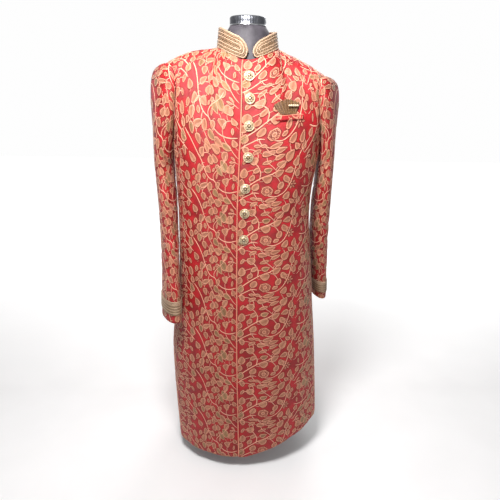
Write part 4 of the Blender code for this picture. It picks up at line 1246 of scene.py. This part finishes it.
def plain_surface(name, light, dark, roughness, metallic, grain, depth, coat=0.0, sheen=0.0):
    """A smooth solid with faint mottling in its colour and surface."""
    made, tree, shader = new_material(name, roughness, metallic, sheen, coat)
    place = object_place(tree)
    mottle = noise(tree, place, grain * 0.2, 3.0)
    tree.links.new(ramp(tree, mottle, ((0.35, dark), (0.68, light))), shader.inputs["Base Color"])
    bump(tree, shader, noise(tree, place, grain, 3.0), depth, 0.6)
    return made


def srgb(red, green, blue):
    """A colour given as on a screen, 0 to 255, in linear light."""
    return tuple((channel / 255) ** 2.2 for channel in (red, green, blue))


GROUND = brocade_ground("brocade_ground", srgb(140, 18, 24), srgb(196, 24, 36))
# The dark contour thread: an outline that also paints the shadow round the raised leaves and vines
OUTLINE_SHADOW_THREAD = plain_surface(
    "contour_thread", srgb(130, 50, 34), srgb(96, 30, 24), 0.7, 0.0, 900.0, 0.00015
)
RIM_THREAD = thread_cord("rim_thread", srgb(230, 160, 130), srgb(168, 94, 70), 0.0018, 0.1, 0.5)
LEAF_FILL = thread_fill("leaf_fill", srgb(206, 146, 112), srgb(146, 80, 58), 0.0014, 0.9, 0.05, 0.5)
OLIVE_FILL = thread_fill("olive_fill", srgb(180, 138, 96), srgb(122, 84, 54), 0.0014, 0.9, 0.10, 0.46)
VINE_THREAD = thread_cord("vine_thread", srgb(246, 190, 160), srgb(214, 134, 108), 0.0022, 0.1, 0.42)
STITCHES = [OUTLINE_SHADOW_THREAD, RIM_THREAD, LEAF_FILL, OLIVE_FILL, VINE_THREAD]
LINING = plain_surface(
    "lining_satin", srgb(120, 24, 32), srgb(92, 14, 24), 0.35, 0.0, 700.0, 0.00008, sheen=0.2
)
BRAID = thread_cord("gold_braid", srgb(152, 124, 94), srgb(104, 80, 58), 0.0034, 0.2, 0.45)
# The braid's backing: its dark tone is painted shade in the gaps between the cords
BRAID_BACKING_AND_SHADE = plain_surface("braid_backing", srgb(112, 84, 62), srgb(82, 60, 44), 0.6, 0.1, 700.0, 0.0002)
BRAID_LIGHT = thread_cord("cream_braid", srgb(190, 162, 134), srgb(146, 116, 92), 0.0030, 0.1, 0.45)
PIPING = thread_cord("peach_cord", srgb(238, 160, 130), srgb(186, 96, 76), 0.0026, 0.05, 0.48)
OLD_GOLD = plain_surface(
    "old_gold_metal", srgb(236, 220, 188), srgb(196, 172, 134), 0.30, 0.40, 600.0, 0.0001
)
# Dark old gold: patina in the button's hollows, and painted shade on its rim's outer side
OLD_GOLD_PATINA_AND_SHADE = plain_surface("old_gold_dark", srgb(112, 84, 56), srgb(66, 46, 32), 0.42, 0.4, 700.0, 0.0001)
SILK = pleated_silk("olive_silk", srgb(142, 106, 66), srgb(78, 50, 32))
PEARL = plain_surface("pearl", srgb(240, 228, 206), srgb(204, 182, 152), 0.18, 0.0, 90.0, 0.00002, coat=0.4)
FORM = plain_surface("form_dark", srgb(72, 68, 74), srgb(52, 49, 54), 0.62, 0.0, 240.0, 0.00008)
CAP_RING = plain_surface("cap_ring", srgb(226, 228, 230), srgb(200, 202, 206), 0.25, 1.0, 300.0, 0.00002)
CAP = plain_surface("cap_metal", srgb(124, 126, 132), srgb(88, 90, 96), 0.36, 0.9, 300.0, 0.00003)
STEEL = plain_surface("stand_steel", srgb(70, 70, 74), srgb(50, 50, 54), 0.38, 0.6, 400.0, 0.00005)

CELLS = {cell: stitch_cell(cell) for cell in LEAVES}


def on_panel(panel, x, height):
    """Flat cloth places of the panel's points at a given x and height."""
    x, height = np.atleast_1d(np.asarray(x, float)), np.atleast_1d(np.asarray(height, float))
    s, t = x * panel.side, height.copy()
    step, none = 0.001, np.zeros(len(x))
    for _ in range(10):
        here = panel.at(*panel.place(s, t), none)
        by_s = (panel.at(*panel.place(s + step, t), none) - here) / step
        by_t = (panel.at(*panel.place(s, t + step), none) - here) / step
        off_x, off_z = x - here[:, 0], height - here[:, 2]
        det = by_s[:, 0] * by_t[:, 2] - by_t[:, 0] * by_s[:, 2]
        s = s + np.clip((off_x * by_t[:, 2] - by_t[:, 0] * off_z) / det, -0.03, 0.03)
        t = t + np.clip((by_s[:, 0] * off_z - by_s[:, 2] * off_x) / det, -0.03, 0.03)
    return s, t


def spot_and_normal(panel, x, height):
    s, t = on_panel(panel, x, height)
    place = panel.place(s, t)
    low, high = panel.at(*place, np.zeros(len(s))), panel.at(*place, np.ones(len(s)))
    return low, high - low


def cord(path, normals, radius, material, ply, pitch=0.004, closed=False, flat=1.0, sides=6, full=False):
    """A cord along a path: half round on its bed, or full round. Plies twist round it."""
    if closed:
        ahead = np.roll(path, -1, axis=0) - np.roll(path, 1, axis=0)
    else:
        ahead = np.gradient(path, axis=0)
    ahead /= np.linalg.norm(ahead, axis=1, keepdims=True)
    across = np.cross(ahead, normals)
    across /= np.linalg.norm(across, axis=1, keepdims=True)
    out = np.cross(across, ahead)
    length = running_length(path)
    if full:
        angles = np.linspace(0, 2 * math.pi, sides, endpoint=False)
    else:
        angles = np.linspace(math.pi, 0, sides)
    count = len(path)
    points, uv = [], []
    for angle in angles:
        bulge = radius * (1 + ply * np.sin(2 * math.pi * length / pitch + 2 * angle))[:, None]
        points.append(path + across * math.cos(angle) * bulge + out * math.sin(angle) * bulge * flat)
        uv.append(np.stack([length, np.full(count, angle * radius)], axis=1))
    faces = quads(sides, count, closed, wrapped=full)
    if full and not closed:
        faces.append(tuple(band * count for band in range(sides)))
        faces.append(tuple(band * count + count - 1 for band in reversed(range(sides))))
    return np.concatenate(points), faces, np.concatenate(uv), material


def join_cords(name, cords, materials, close=False):
    points, faces, uv, which, count = [], [], [], [], 0
    for cord_points, cord_faces, cord_uv, material in cords:
        points.append(cord_points)
        uv.append(cord_uv)
        faces += [tuple(count + corner for corner in face) for face in cord_faces]
        which += [materials.index(material)] * len(cord_faces)
        count += len(cord_points)
    return mesh_object(name, np.concatenate(points), faces, materials, which, np.concatenate(uv), close)


def turned(name, rings, around, place, kind, materials):
    """A closed solid of rings: place(ring, angle) is a point, kind(ring, angle) a face's material."""
    angles = [2 * math.pi * k / around for k in range(around)]
    points = [place(ring, angle) for ring in range(rings) for angle in angles]
    kinds = [kind(ring, angle + math.pi / around) for ring in range(rings - 1) for angle in angles]
    faces = quads(rings, around, closed=True)
    faces += [tuple(range(around))[::-1], tuple(range((rings - 1) * around, rings * around))]
    kinds += [kinds[0], kinds[-1]]
    return mesh_object(name, points, faces, materials, kinds, [(0.0, 0.0)] * len(points), close=True)


def lathe(name, profile, around, materials, foot=0.0, bright=0, flutes=(), squash=1.0):
    """A turned solid about an upright axis: its first bands may be bright, and some rings fluted."""

    def place(row, angle):
        radius, height = profile[row]
        if row in flutes:
            radius *= 1 + CAP_FLUTE_DEPTH * abs(math.sin(CAP_FLUTES / 2 * angle))
        return radius * math.cos(angle), radius * squash * math.sin(angle), foot + height

    made = turned(name, len(profile), around, place, lambda row, angle: int(row < bright), materials)
    made.data.set_sharp_from_angle(angle=math.radians(38))
    return made


# The coat's panels
front_left = BodyPanel("front", 1, FRONT_COLUMNS)
front_right = BodyPanel("front", -1, FRONT_COLUMNS)
back_left = BodyPanel("back", 1, BACK_COLUMNS)
back_right = BodyPanel("back", -1, BACK_COLUMNS)
sleeves = {which: SleevePanel(which) for which in ("left", "right")}
CLOTH = [GROUND, LINING]
PATTERN_TOP = CHEST + YOKE_CLOTH

cloths = {}
for panel in (front_left, front_right):
    inner = panel.grid - panel.normals * WALL
    cloths[panel.name] = wall_mesh(
        panel.name + "_cloth", panel.grid, inner, panel.flat, CLOTH, lambda row: row < HEM_TURN_ROWS
    )
back_grid = np.concatenate([back_right.grid[:, :0:-1], back_left.grid], axis=1)
back_normals = np.concatenate([back_right.normals[:, :0:-1], back_left.normals], axis=1)
back_flat = np.concatenate([back_right.flat[:, :0:-1] * (-1, 1), back_left.flat], axis=1)
cloths["back"] = wall_mesh(
    "back_cloth", back_grid, back_grid - back_normals * WALL, back_flat, CLOTH,
    lambda row: row < HEM_TURN_ROWS,
)
sheet_grids = {"front_left": front_left.grid, "front_right": front_right.grid, "back": back_grid}
seam = round(SLEEVE_AROUND * SLEEVE_SEAM)
for which, panel in sleeves.items():
    inner = panel.grid - panel.normals * WALL
    turned_rows = len(panel.levels) - 1 - CUFF_TURN_ROWS
    for part, columns in (
        ("upper", list(range(seam, SLEEVE_AROUND - seam + 1))),
        ("under", list(range(SLEEVE_AROUND - seam, SLEEVE_AROUND)) + list(range(seam + 1))),
    ):
        name = f"sleeve_{which}_{part}"
        flat = panel.flat[:, columns].copy()
        if part == "under":
            flat[:, seam:, 0] += panel.girths[:, None]
        sheet_grids[name] = panel.grid[:, columns]
        cloths[name] = wall_mesh(
            name + "_cloth", sheet_grids[name], inner[:, columns], flat, CLOTH, lambda row: row > turned_rows
        )
for name, piece in cloths.items():
    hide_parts(name)

# The woven pattern: cells side by side from the middle, or from a sleeve's underarm line
patterns = {}
for panel, cells, shift, flip, edge, least in (
    (front_left, "BAB", LEFT_SHIFT, False, -1, 0.0032),
    (front_right, "ABA", RIGHT_SHIFT, True, 1, 0.0002),
    (back_left, "ABA", RIGHT_SHIFT, True, 0, 0.0),
    (back_right, "ABA", RIGHT_SHIFT, False, 0, 0.0),
):
    tiles = [(cell, CELL * place, shift) for place, cell in enumerate(cells)]
    patterns[panel.name] = embroider(panel, tiles, HEM_FRONT, PATTERN_TOP, flip, edge, least)
for which, panel in sleeves.items():
    tiles = [("A", -CELL, SLEEVE_SHIFTS[0]), ("B", 0.0, SLEEVE_SHIFTS[1])]
    top = SLEEVE_TOP + SLEEVE_HEAD_CLOTH
    patterns[panel.name] = embroider(panel, tiles, panel.bottom, top, which == "right")


def one_side_area(grid):
    down, across = np.diff(grid, axis=0)[:, :-1], np.diff(grid, axis=1)[:-1]
    return float(np.linalg.norm(np.cross(down, across), axis=2).sum())


def panel_size(grid):
    """The cut's width and length: the longest row and the longest column."""
    across = np.linalg.norm(np.diff(grid, axis=1), axis=2).sum(axis=1).max()
    down = np.linalg.norm(np.diff(grid, axis=0), axis=2).sum(axis=0).max()
    return round(float(across), 3), round(float(down), 3)


def collar_ring(along, up):
    """A point of the collar's outer face: along runs from the front (0) round to the back (1)."""
    side = 1 if along >= 0 else -1
    angle = abs(along) * math.pi
    front = math.cos(angle) > 0
    base = top_point("front" if front else "back", side, NECK_SHARE * (1 - abs(1 - 2 * abs(along))))
    lean = 1 - COLLAR_LEAN * up * (0.5 + 0.5 * math.cos(angle))
    drop = COLLAR_LEFT_DROP * math.sqrt(0.5 + 0.5 * math.cos(angle)) if side > 0 else 0.0
    rise = 2 * SEAM + (COLLAR_HEIGHT - drop) * up
    forward = -0.004 * up * math.cos(angle)
    return np.array([base[0] * lean, base[1] * lean + forward, base[2] + rise])


class Collar:
    """The standing collar on the flat: distance from the middle of the back, and height share."""

    def __init__(self):
        self.steps = np.linspace(0, 1, 400)
        ring = np.array([collar_ring(s, 0.5) for s in self.steps])
        self.length = running_length(ring)
        self.reach = self.length[-1]
        self.half = self.reach - (COLLAR_RIGHT_END + COLLAR_LEFT_END) / 2
        self.shift = (COLLAR_RIGHT_END - COLLAR_LEFT_END) / 2
        self.spine = self.half - COLLAR_TOP_ROUND * 0.75

    def outline(self, straight, cap):
        """Its lower and upper edges as lists that pair up, from the wearer's right end to the left one."""
        start = self.half - COLLAR_TOP_ROUND
        bulge = COLLAR_TIP_SHARE
        caps = []
        for step in range(1, cap + 1):
            turn = step / (cap + 1) * math.pi / 2
            across, down = math.sin(turn), math.cos(turn)
            low = (COLLAR_TOP_ROUND - COLLAR_BASE_ROUND * (1 - across), bulge * (1 - down))
            caps.append((low, (COLLAR_TOP_ROUND * across, bulge + (1 - bulge) * down)))
        middle = np.linspace(-start, start, straight)
        lower = [(-start - low[0], low[1]) for low, _ in reversed(caps)] + [(s, 0.0) for s in middle]
        upper = [(-start - high[0], high[1]) for _, high in reversed(caps)] + [(s, 1.0) for s in middle]
        lower += [(start + low[0], low[1]) for low, _ in caps]
        upper += [(start + high[0], high[1]) for _, high in caps]
        return lower, upper

    def place(self, distance, up):
        from_back = distance + self.shift
        along = np.interp(self.reach - abs(from_back), self.length, self.steps)
        return collar_ring(math.copysign(along, from_back), up)

    def normal(self, distance, up):
        run = self.place(distance + 0.001, up) - self.place(distance - 0.001, up)
        rise = self.place(distance, up + 0.02) - self.place(distance, up - 0.02)
        found = unit(np.cross(run, rise))
        return found * (1 if np.dot(found[:2], self.place(distance, up)[:2]) > 0 else -1)

    def inset(self, distance, up, share):
        """A flat place moved towards the collar's spine."""
        middle = min(max(distance, -self.spine), self.spine)
        return distance + (middle - distance) * share, up + (0.5 - up) * share


def even_path(path, step):
    """The points of a flat path again, at even steps."""
    path = np.array(path, float)
    length = running_length(path * (1.0, COLLAR_HEIGHT))
    at = np.linspace(0, length[-1], int(length[-1] / step))
    return [(np.interp(spot, length, path[:, 0]), np.interp(spot, length, path[:, 1])) for spot in at]


collar = Collar()
lower, upper = collar.outline(90, 9)
lower, upper = np.array(lower), np.array(upper)
core = [lower + (upper - lower) * row for row in np.linspace(0, 1, 11)]
outer = np.array([[collar.place(*spot) for spot in line] for line in core])
depth = np.array([[collar.normal(*spot) for spot in line] for line in core])
flat = np.array([[(spot[0], spot[1] * COLLAR_HEIGHT) for spot in line] for line in core])
# The collar's outer face is the dark backing, painted shade between the braid loops
collar_cloth = wall_mesh("collar_wall", outer, outer - depth * COLLAR_WALL, flat, [BRAID_BACKING_AND_SHADE, LINING])
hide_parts("collar")
collar_grid = outer

# Its braid: closed loops one inside the other, thick cream ones and thin gold ones in turn
cords = []
lower, upper = collar.outline(90, 16)
tip_right, tip_left = (-collar.half, COLLAR_TIP_SHARE), (collar.half, COLLAR_TIP_SHARE)
loop = [tip_right] + lower + [tip_left] + upper[::-1] + [tip_right]
width = COLLAR_HEIGHT / 2 / COLLAR_CORDS
for row in range(COLLAR_CORDS):
    share = (row + 0.5) / COLLAR_CORDS
    spots = even_path([collar.inset(*spot, share) for spot in loop], BRAID_STEP)[:-1]
    path = np.array([collar.place(*spot) for spot in spots])
    normals = np.array([collar.normal(*spot) for spot in spots])
    finish = BRAID if row % 2 else BRAID_LIGHT
    radius = width * (BRAID_NARROW if row % 2 else BRAID_WIDE)
    cords.append(cord(path, normals, radius, finish, BRAID_PLY, BRAID_PITCH, closed=True, flat=BRAID_FLAT))
collar_braid = join_cords("collar_braid", cords, [BRAID, BRAID_LIGHT])
rim = [lower[0], tip_right] + upper + [tip_left, lower[-1]]
spots = even_path(rim, EDGE_STEP)
path = np.array([collar.place(*spot) - collar.normal(*spot) * COLLAR_WALL * 0.5 for spot in spots])
normals = np.array([collar.normal(*spot) for spot in spots])
edge_cord = join_cords(
    "collar_edge",
    [cord(path, normals, EDGE_RADIUS, BRAID_LIGHT, BRAID_PLY, BRAID_PITCH, sides=CORD_SIDES, full=True)],
    [BRAID_LIGHT], close=True,
)

# The cuffs: a backing band, dark as painted shade between the cords, and five rows, each a pair of twisted
# cords
cuffs, cuff_girths = {}, {}
for which, panel in sleeves.items():
    foot, head = panel.bottom + CUFF_RISE, panel.bottom + CUFF_RISE + CUFF_WIDTH
    heights = np.linspace(foot, head, CUFF_RINGS)
    band = []
    for lift in (2 * SEAM + BRAID_BACKING, 2 * SEAM):
        rings = [panel.ring(height, lift, CUFF_AROUND) for height in heights]
        band.append(np.array([np.concatenate([ring, ring[:1]]) for ring in rings]))
    girths = running_length(band[0][0])
    flat = np.array([[(run, height) for run in girths] for height in heights])
    name = f"cuff_band_{which}"
    backing = wall_mesh(name + "_backing", band[0], band[1], flat, [BRAID_BACKING_AND_SHADE, BRAID_BACKING_AND_SHADE])
    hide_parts(name)
    cords = []
    rows = 2 * CUFF_ROWS
    for row in range(rows):
        height = foot + CUFF_WIDTH * (row + 0.5) / rows
        low = panel.ring(height, 2 * SEAM + BRAID_BACKING, CUFF_CORD_AROUND)
        normals = panel.ring(height, 1.0, CUFF_CORD_AROUND) - low
        finish = BRAID_LIGHT if row % 2 or row == rows - 2 else BRAID
        radius = CUFF_WIDTH / rows * (BRAID_WIDE if row % 2 else BRAID_NARROW)
        ply = BRAID_PLY if row % 2 else -BRAID_PLY
        cords.append(cord(low, normals, radius, finish, ply, closed=True, flat=BRAID_FLAT))
    braid = join_cords(f"{name}_braid", cords, [BRAID, BRAID_LIGHT])
    cuffs[which] = (backing, braid)
    cuff_girths[which] = girths[-1]

# The cord along the left front's free edge
heights = np.arange(HEM_FRONT + 0.003, PATTERN_TOP - 0.004, PIPING_STEP)
laps = laps_at(cloth_level(heights, HEM_FRONT))
spots = front_left.place(PIPING_INSET - laps, heights)
low = front_left.at(*spots, np.full(len(heights), SEAM * 1.5 + PIPING_RADIUS))
normals = front_left.at(*spots, np.ones(len(heights))) - low
piping = join_cords(
    "piping_cord",
    [cord(low, normals, PIPING_RADIUS, PIPING, PIPING_PLY, PIPING_PITCH, sides=CORD_SIDES, full=True)],
    [PIPING], close=True,
)
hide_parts("front_piping")


def make_button(number, centre, axis):
    """A domed button with a beaded rim, a ring of petals and a raised boss."""
    right = unit(np.cross((0.0, 0.0, 1.0), axis))
    up = np.cross(axis, right)

    def place(ring, angle):
        share, height, bead, petal = BUTTON_RINGS[ring]
        fluted = abs(math.cos(4 * angle)) ** 0.6 - 0.5
        lift = height + bead * math.cos(BUTTON_BEADS * angle) + petal * fluted * 1.6
        out = right * math.cos(angle) + up * math.sin(angle)
        return centre + axis * lift + BUTTON_RADIUS * share * out

    def kind(ring, angle):
        gap = ring in BUTTON_PETAL_RINGS and abs(math.cos(4 * angle)) < 0.35
        return int(ring in BUTTON_PATINA_AND_SHADE_RINGS or gap)

    metal = [OLD_GOLD, OLD_GOLD_PATINA_AND_SHADE]
    made = turned(f"button_{number}_metal", len(BUTTON_RINGS), BUTTON_AROUND, place, kind, metal)
    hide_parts(f"button_{number}")


for number, (height, across) in enumerate(BUTTONS, 1):
    spot, normal = spot_and_normal(front_left, across, height)
    make_button(number, spot[0] + normal[0] * BUTTON_SEAT, normal[0])


def patch(points, lift, thickness):
    """A small wall on the left front from rows of (x, height, extra lift)."""
    points = np.array(points)
    spots, normals = spot_and_normal(front_left, points[..., 0].ravel(), points[..., 1].ravel())
    spots, normals = spots.reshape(points.shape), normals.reshape(points.shape)
    low = spots + normals * (lift + points[..., 2:])
    return low + normals * thickness, low


# The breast pocket: welt, pleated square and pearls
welt = []
for row in range(WELT_ROWS + 1):
    height = POCKET_HEIGHT - WELT_WIDTH / 2 + WELT_WIDTH * row / WELT_ROWS
    ways = np.linspace(-0.5, 0.5, WELT_COLUMNS + 1)
    soft = WELT_CROWN * math.sin(math.pi * row / WELT_ROWS)
    welt.append([(POCKET_X + POCKET_WIDTH * way, height + WELT_SLOPE * way, soft) for way in ways])
outer, inner = patch(welt, PATCH_LIFT, WELT_WALL)
flat = np.array([[(x, height) for x, height, _ in line] for line in welt])
pocket_welt = wall_mesh("welt_cloth", outer, inner, flat, [GROUND, GROUND])
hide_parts("pocket_welt")
welt_grid = outer
top_edge = outer[-1] * 0.5 + inner[-1] * 0.5
normals = outer[-1] - inner[-1]
welt_cord = join_cords(
    "welt_cord",
    [cord(top_edge, normals, WELT_CORD_RADIUS, PIPING, WELT_CORD_PLY, sides=CORD_SIDES, full=True)],
    [PIPING], close=True,
)

fan = []
foot = POCKET_HEIGHT + WELT_WIDTH / 2 + FAN_GAP
for row in range(FAN_ROWS + 1):
    reach = row / FAN_ROWS
    line = []
    for ray in range(FAN_RAYS + 1):
        way = ray / FAN_RAYS
        lean = math.radians(FAN_FIRST_LEAN + FAN_SPREAD * way)
        length = (FAN_HEIGHT + FAN_CROWN * math.sin(math.pi * way)) * reach
        x = POCKET_X + FAN_LEFT + FAN_FOOT_WIDTH * way + length * math.sin(lean)
        fold = 0.5 - 0.5 * math.cos(2 * math.pi * FAN_PLEATS * way)
        crest = FAN_PLEAT_DEPTH * fold**0.7 * (0.35 + 0.65 * reach)
        ragged = (0.0022 * fold + 0.0012 * math.sin(5.0 * ray)) * reach**4
        line.append((x, foot + length * math.cos(lean) + ragged, crest + FAN_TILT * reach))
    fan.append(line)
outer, inner = patch(fan, PATCH_LIFT, FAN_WALL)
across = np.linspace(0, FAN_PLEATS * FAN_PITCH, FAN_RAYS + 1)
flat = np.stack(np.meshgrid(across, np.linspace(0, FAN_CLOTH, FAN_ROWS + 1)), axis=2)
pocket_square = wall_mesh("square_silk", outer, inner, flat, [SILK, SILK])
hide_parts("pocket_square")
fan_grid = outer

ends, normals = spot_and_normal(
    front_left, POCKET_X + PEARLS_X + np.array([0.0, PEARLS_RUN]), np.full(2, foot + PEARLS_UP)
)
along = unit(ends[1] - ends[0])
start = ends[0] + normals[0] * (PATCH_LIFT + FAN_WALL + FAN_PLEAT_DEPTH + SEAM + PEARL_RADIUS)
points, faces = [], []
for number in range(PEARLS):
    centre = start + along * (2 * number + 1) * PEARL_RADIUS * PEARL_SPACING
    work = bmesh.new()
    bmesh.ops.create_uvsphere(work, u_segments=24, v_segments=14, radius=PEARL_RADIUS * PEARL_SIZE)
    base = len(points)
    points += [centre + np.array(vert.co) for vert in work.verts]
    faces += [tuple(base + vert.index for vert in face.verts) for face in work.faces]
    work.free()
pearls = mesh_object("pearl_row", points, faces, [PEARL], uv=[(0.0, 0.0)] * len(points), close=True)
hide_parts("pocket_pearls")

# The form and its stand
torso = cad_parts["form_torso"]
smooth = bpy.data.objects.new("form_smooth", torso.data.copy())
bpy.context.scene.collection.objects.link(smooth)
work = bmesh.new()
work.from_mesh(smooth.data)
bmesh.ops.remove_doubles(work, verts=work.verts, dist=0.00005)
work.to_mesh(smooth.data)
work.free()
smooth.data.shade_smooth()
smooth.data.materials.clear()
smooth.data.materials.append(FORM)
smooth.data.polygons.foreach_set("material_index", np.zeros(len(smooth.data.polygons), np.int32))
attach(smooth, "root")
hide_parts("form_torso")



def widened(radius, rows):
    """A turned profile from rows of (share of the radius, height)."""
    return [(radius * share, height) for share, height in rows]


cap_rows = (
    (0.985, 0.0000), (1.005, 0.0005), (1.010, 0.0016), (1.000, 0.0026), (0.985, 0.0030),
    (0.985, 0.0100), (0.985, 0.0172), (0.970, 0.0190), (0.930, 0.0203), (0.800, 0.0209),
)
neck_cap = lathe(
    "neck_cap_metal", widened(CAP_HALF_WIDTH, cap_rows), 160, [CAP, CAP_RING], CAP_BOTTOM + SEAM,
    bright=4, flutes=(4, 5, 6), squash=CAP_HALF_DEPTH / CAP_HALF_WIDTH,
)
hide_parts("form_neck_cap")

pole_top = FORM_BOTTOM - SEAM - BASE_HEIGHT - SEAM
pole_rows = (
    (1.45, 0.000), (1.55, 0.004), (1.50, 0.012), (1.15, 0.017), (1.00, 0.019),
    (1.00, 0.180), (0.86, 0.181), (0.86, 0.300), (0.98, 0.301), (0.98, pole_top),
)
pole = lathe("pole_steel", widened(POLE_RADIUS, pole_rows), 48, [STEEL], BASE_HEIGHT + SEAM)
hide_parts("stand_pole")
base_rows = (
    (0.970, 0.0000), (0.995, 0.0015), (1.000, 0.0040), (0.995, 0.0075),
    (0.970, 0.0110), (0.930, 0.0132), (0.880, BASE_HEIGHT), (0.500, BASE_HEIGHT),
)
base = lathe("base_steel", widened(BASE_RADIUS, base_rows), 96, [STEEL])
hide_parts("stand_base")

# Each sheet's stitching, size and area, worked out here and not kept
with_pattern = {name: [] for name in sheet_grids}
with_pattern["back"] = [patterns["back_left"], patterns["back_right"]]
for name in ("front_left", "front_right"):
    with_pattern[name] = [patterns[name]]
for which in sleeves:
    with_pattern[f"sleeve_{which}_upper"] = [patterns[f"sleeve_{which}"]]
for name, grid in sheet_grids.items():
    panel_size(grid)
    round(one_side_area(grid), 4)
panel_size(collar_grid)
round(one_side_area(collar_grid), 4)
panel_size(welt_grid)
panel_size(fan_grid)
round(one_side_area(fan_grid), 5)

# The floor glows white behind the coat and is dim in front of it
white_floor = plain_surface("studio_floor", (0.92,) * 3, (0.89,) * 3, 0.9, 0.0, 30.0, 0.00002)
floor_tree = white_floor.node_tree
floor_shader = floor_tree.nodes["Principled BSDF"]
floor_shader.inputs["Emission Strength"].default_value = 1.0
from_front = node(floor_tree, "ShaderNodeSeparateXYZ")
floor_tree.links.new(object_place(floor_tree), from_front.inputs["Vector"])
way_back = add(floor_tree, from_front.outputs["Y"], 0.25, "MULTIPLY")
glow = ramp(floor_tree, way_back, ((0.05, (0.06,) * 3), (0.45, (0.80,) * 3)))
floor_tree.links.new(glow, floor_shader.inputs["Emission Color"])
corners = [(-FLOOR, -FLOOR, 0), (FLOOR, -FLOOR, 0), (FLOOR, FLOOR, 0), (-FLOOR, FLOOR, 0)]
floor = mesh_object("studio_floor", corners, [(0, 1, 2, 3)], [white_floor])

# The world is nearly white behind the coat and dim in front of it
world = bpy.data.worlds.new("studio")
world.use_nodes = True
sky_tree = world.node_tree
backdrop = sky_tree.nodes["Background"]
backdrop.inputs["Strength"].default_value = 1.0
direction = node(sky_tree, "ShaderNodeTexCoord").outputs["Generated"]
parts = node(sky_tree, "ShaderNodeSeparateXYZ")
sky_tree.links.new(direction, parts.inputs["Vector"])
behind = add(sky_tree, add(sky_tree, parts.outputs["Y"], 0.5, "MULTIPLY"), 0.5)
sky = ramp(sky_tree, behind, [(stop, (grey,) * 3) for stop, grey in SKY_STOPS])
sky_tree.links.new(sky, backdrop.inputs["Color"])
bpy.context.scene.world = world
bpy.context.scene.view_settings.view_transform = "Standard"

for name, place, aim, size, power, colour in LIGHTS:
    light = bpy.data.lights.new(name, "AREA")
    light.shape, light.size, light.energy, light.color = "DISK", size, power, colour
    lamp = bpy.data.objects.new(name, light)
    lamp.visible_camera = False
    lamp.location = place
    lamp.rotation_euler = (Vector(aim) - Vector(place)).to_track_quat("-Z", "Y").to_euler()
    bpy.context.scene.collection.objects.link(lamp)

camera_data = bpy.data.cameras.new("camera")
camera_data.sensor_width = SENSOR
camera_data.lens = LENS_IN_PIXELS * SENSOR / IMAGE_WIDTH
camera_data.shift_x, camera_data.shift_y = LENS_SHIFT
camera_data.clip_start = 0.05
camera = bpy.data.objects.new("camera", camera_data)
c, s = math.cos(TURN), math.sin(TURN)
forward = Vector((s * math.cos(TILT), c * math.cos(TILT), -math.sin(TILT)))
level_right = Vector((c, -s, 0.0))
level_up = Vector((s * math.sin(TILT), c * math.sin(TILT), math.cos(TILT)))
right = level_right * math.cos(ROLL) + level_up * math.sin(ROLL)
up = level_up * math.cos(ROLL) - level_right * math.sin(ROLL)
camera.matrix_world = Matrix((
    (right.x, up.x, -forward.x, c * OFFSET - s * DISTANCE),
    (right.y, up.y, -forward.y, -s * OFFSET - c * DISTANCE),
    (right.z, up.z, -forward.z, EYE_HEIGHT),
    (0.0, 0.0, 0.0, 1.0),
))
bpy.context.scene.collection.objects.link(camera)
bpy.context.scene.camera = camera
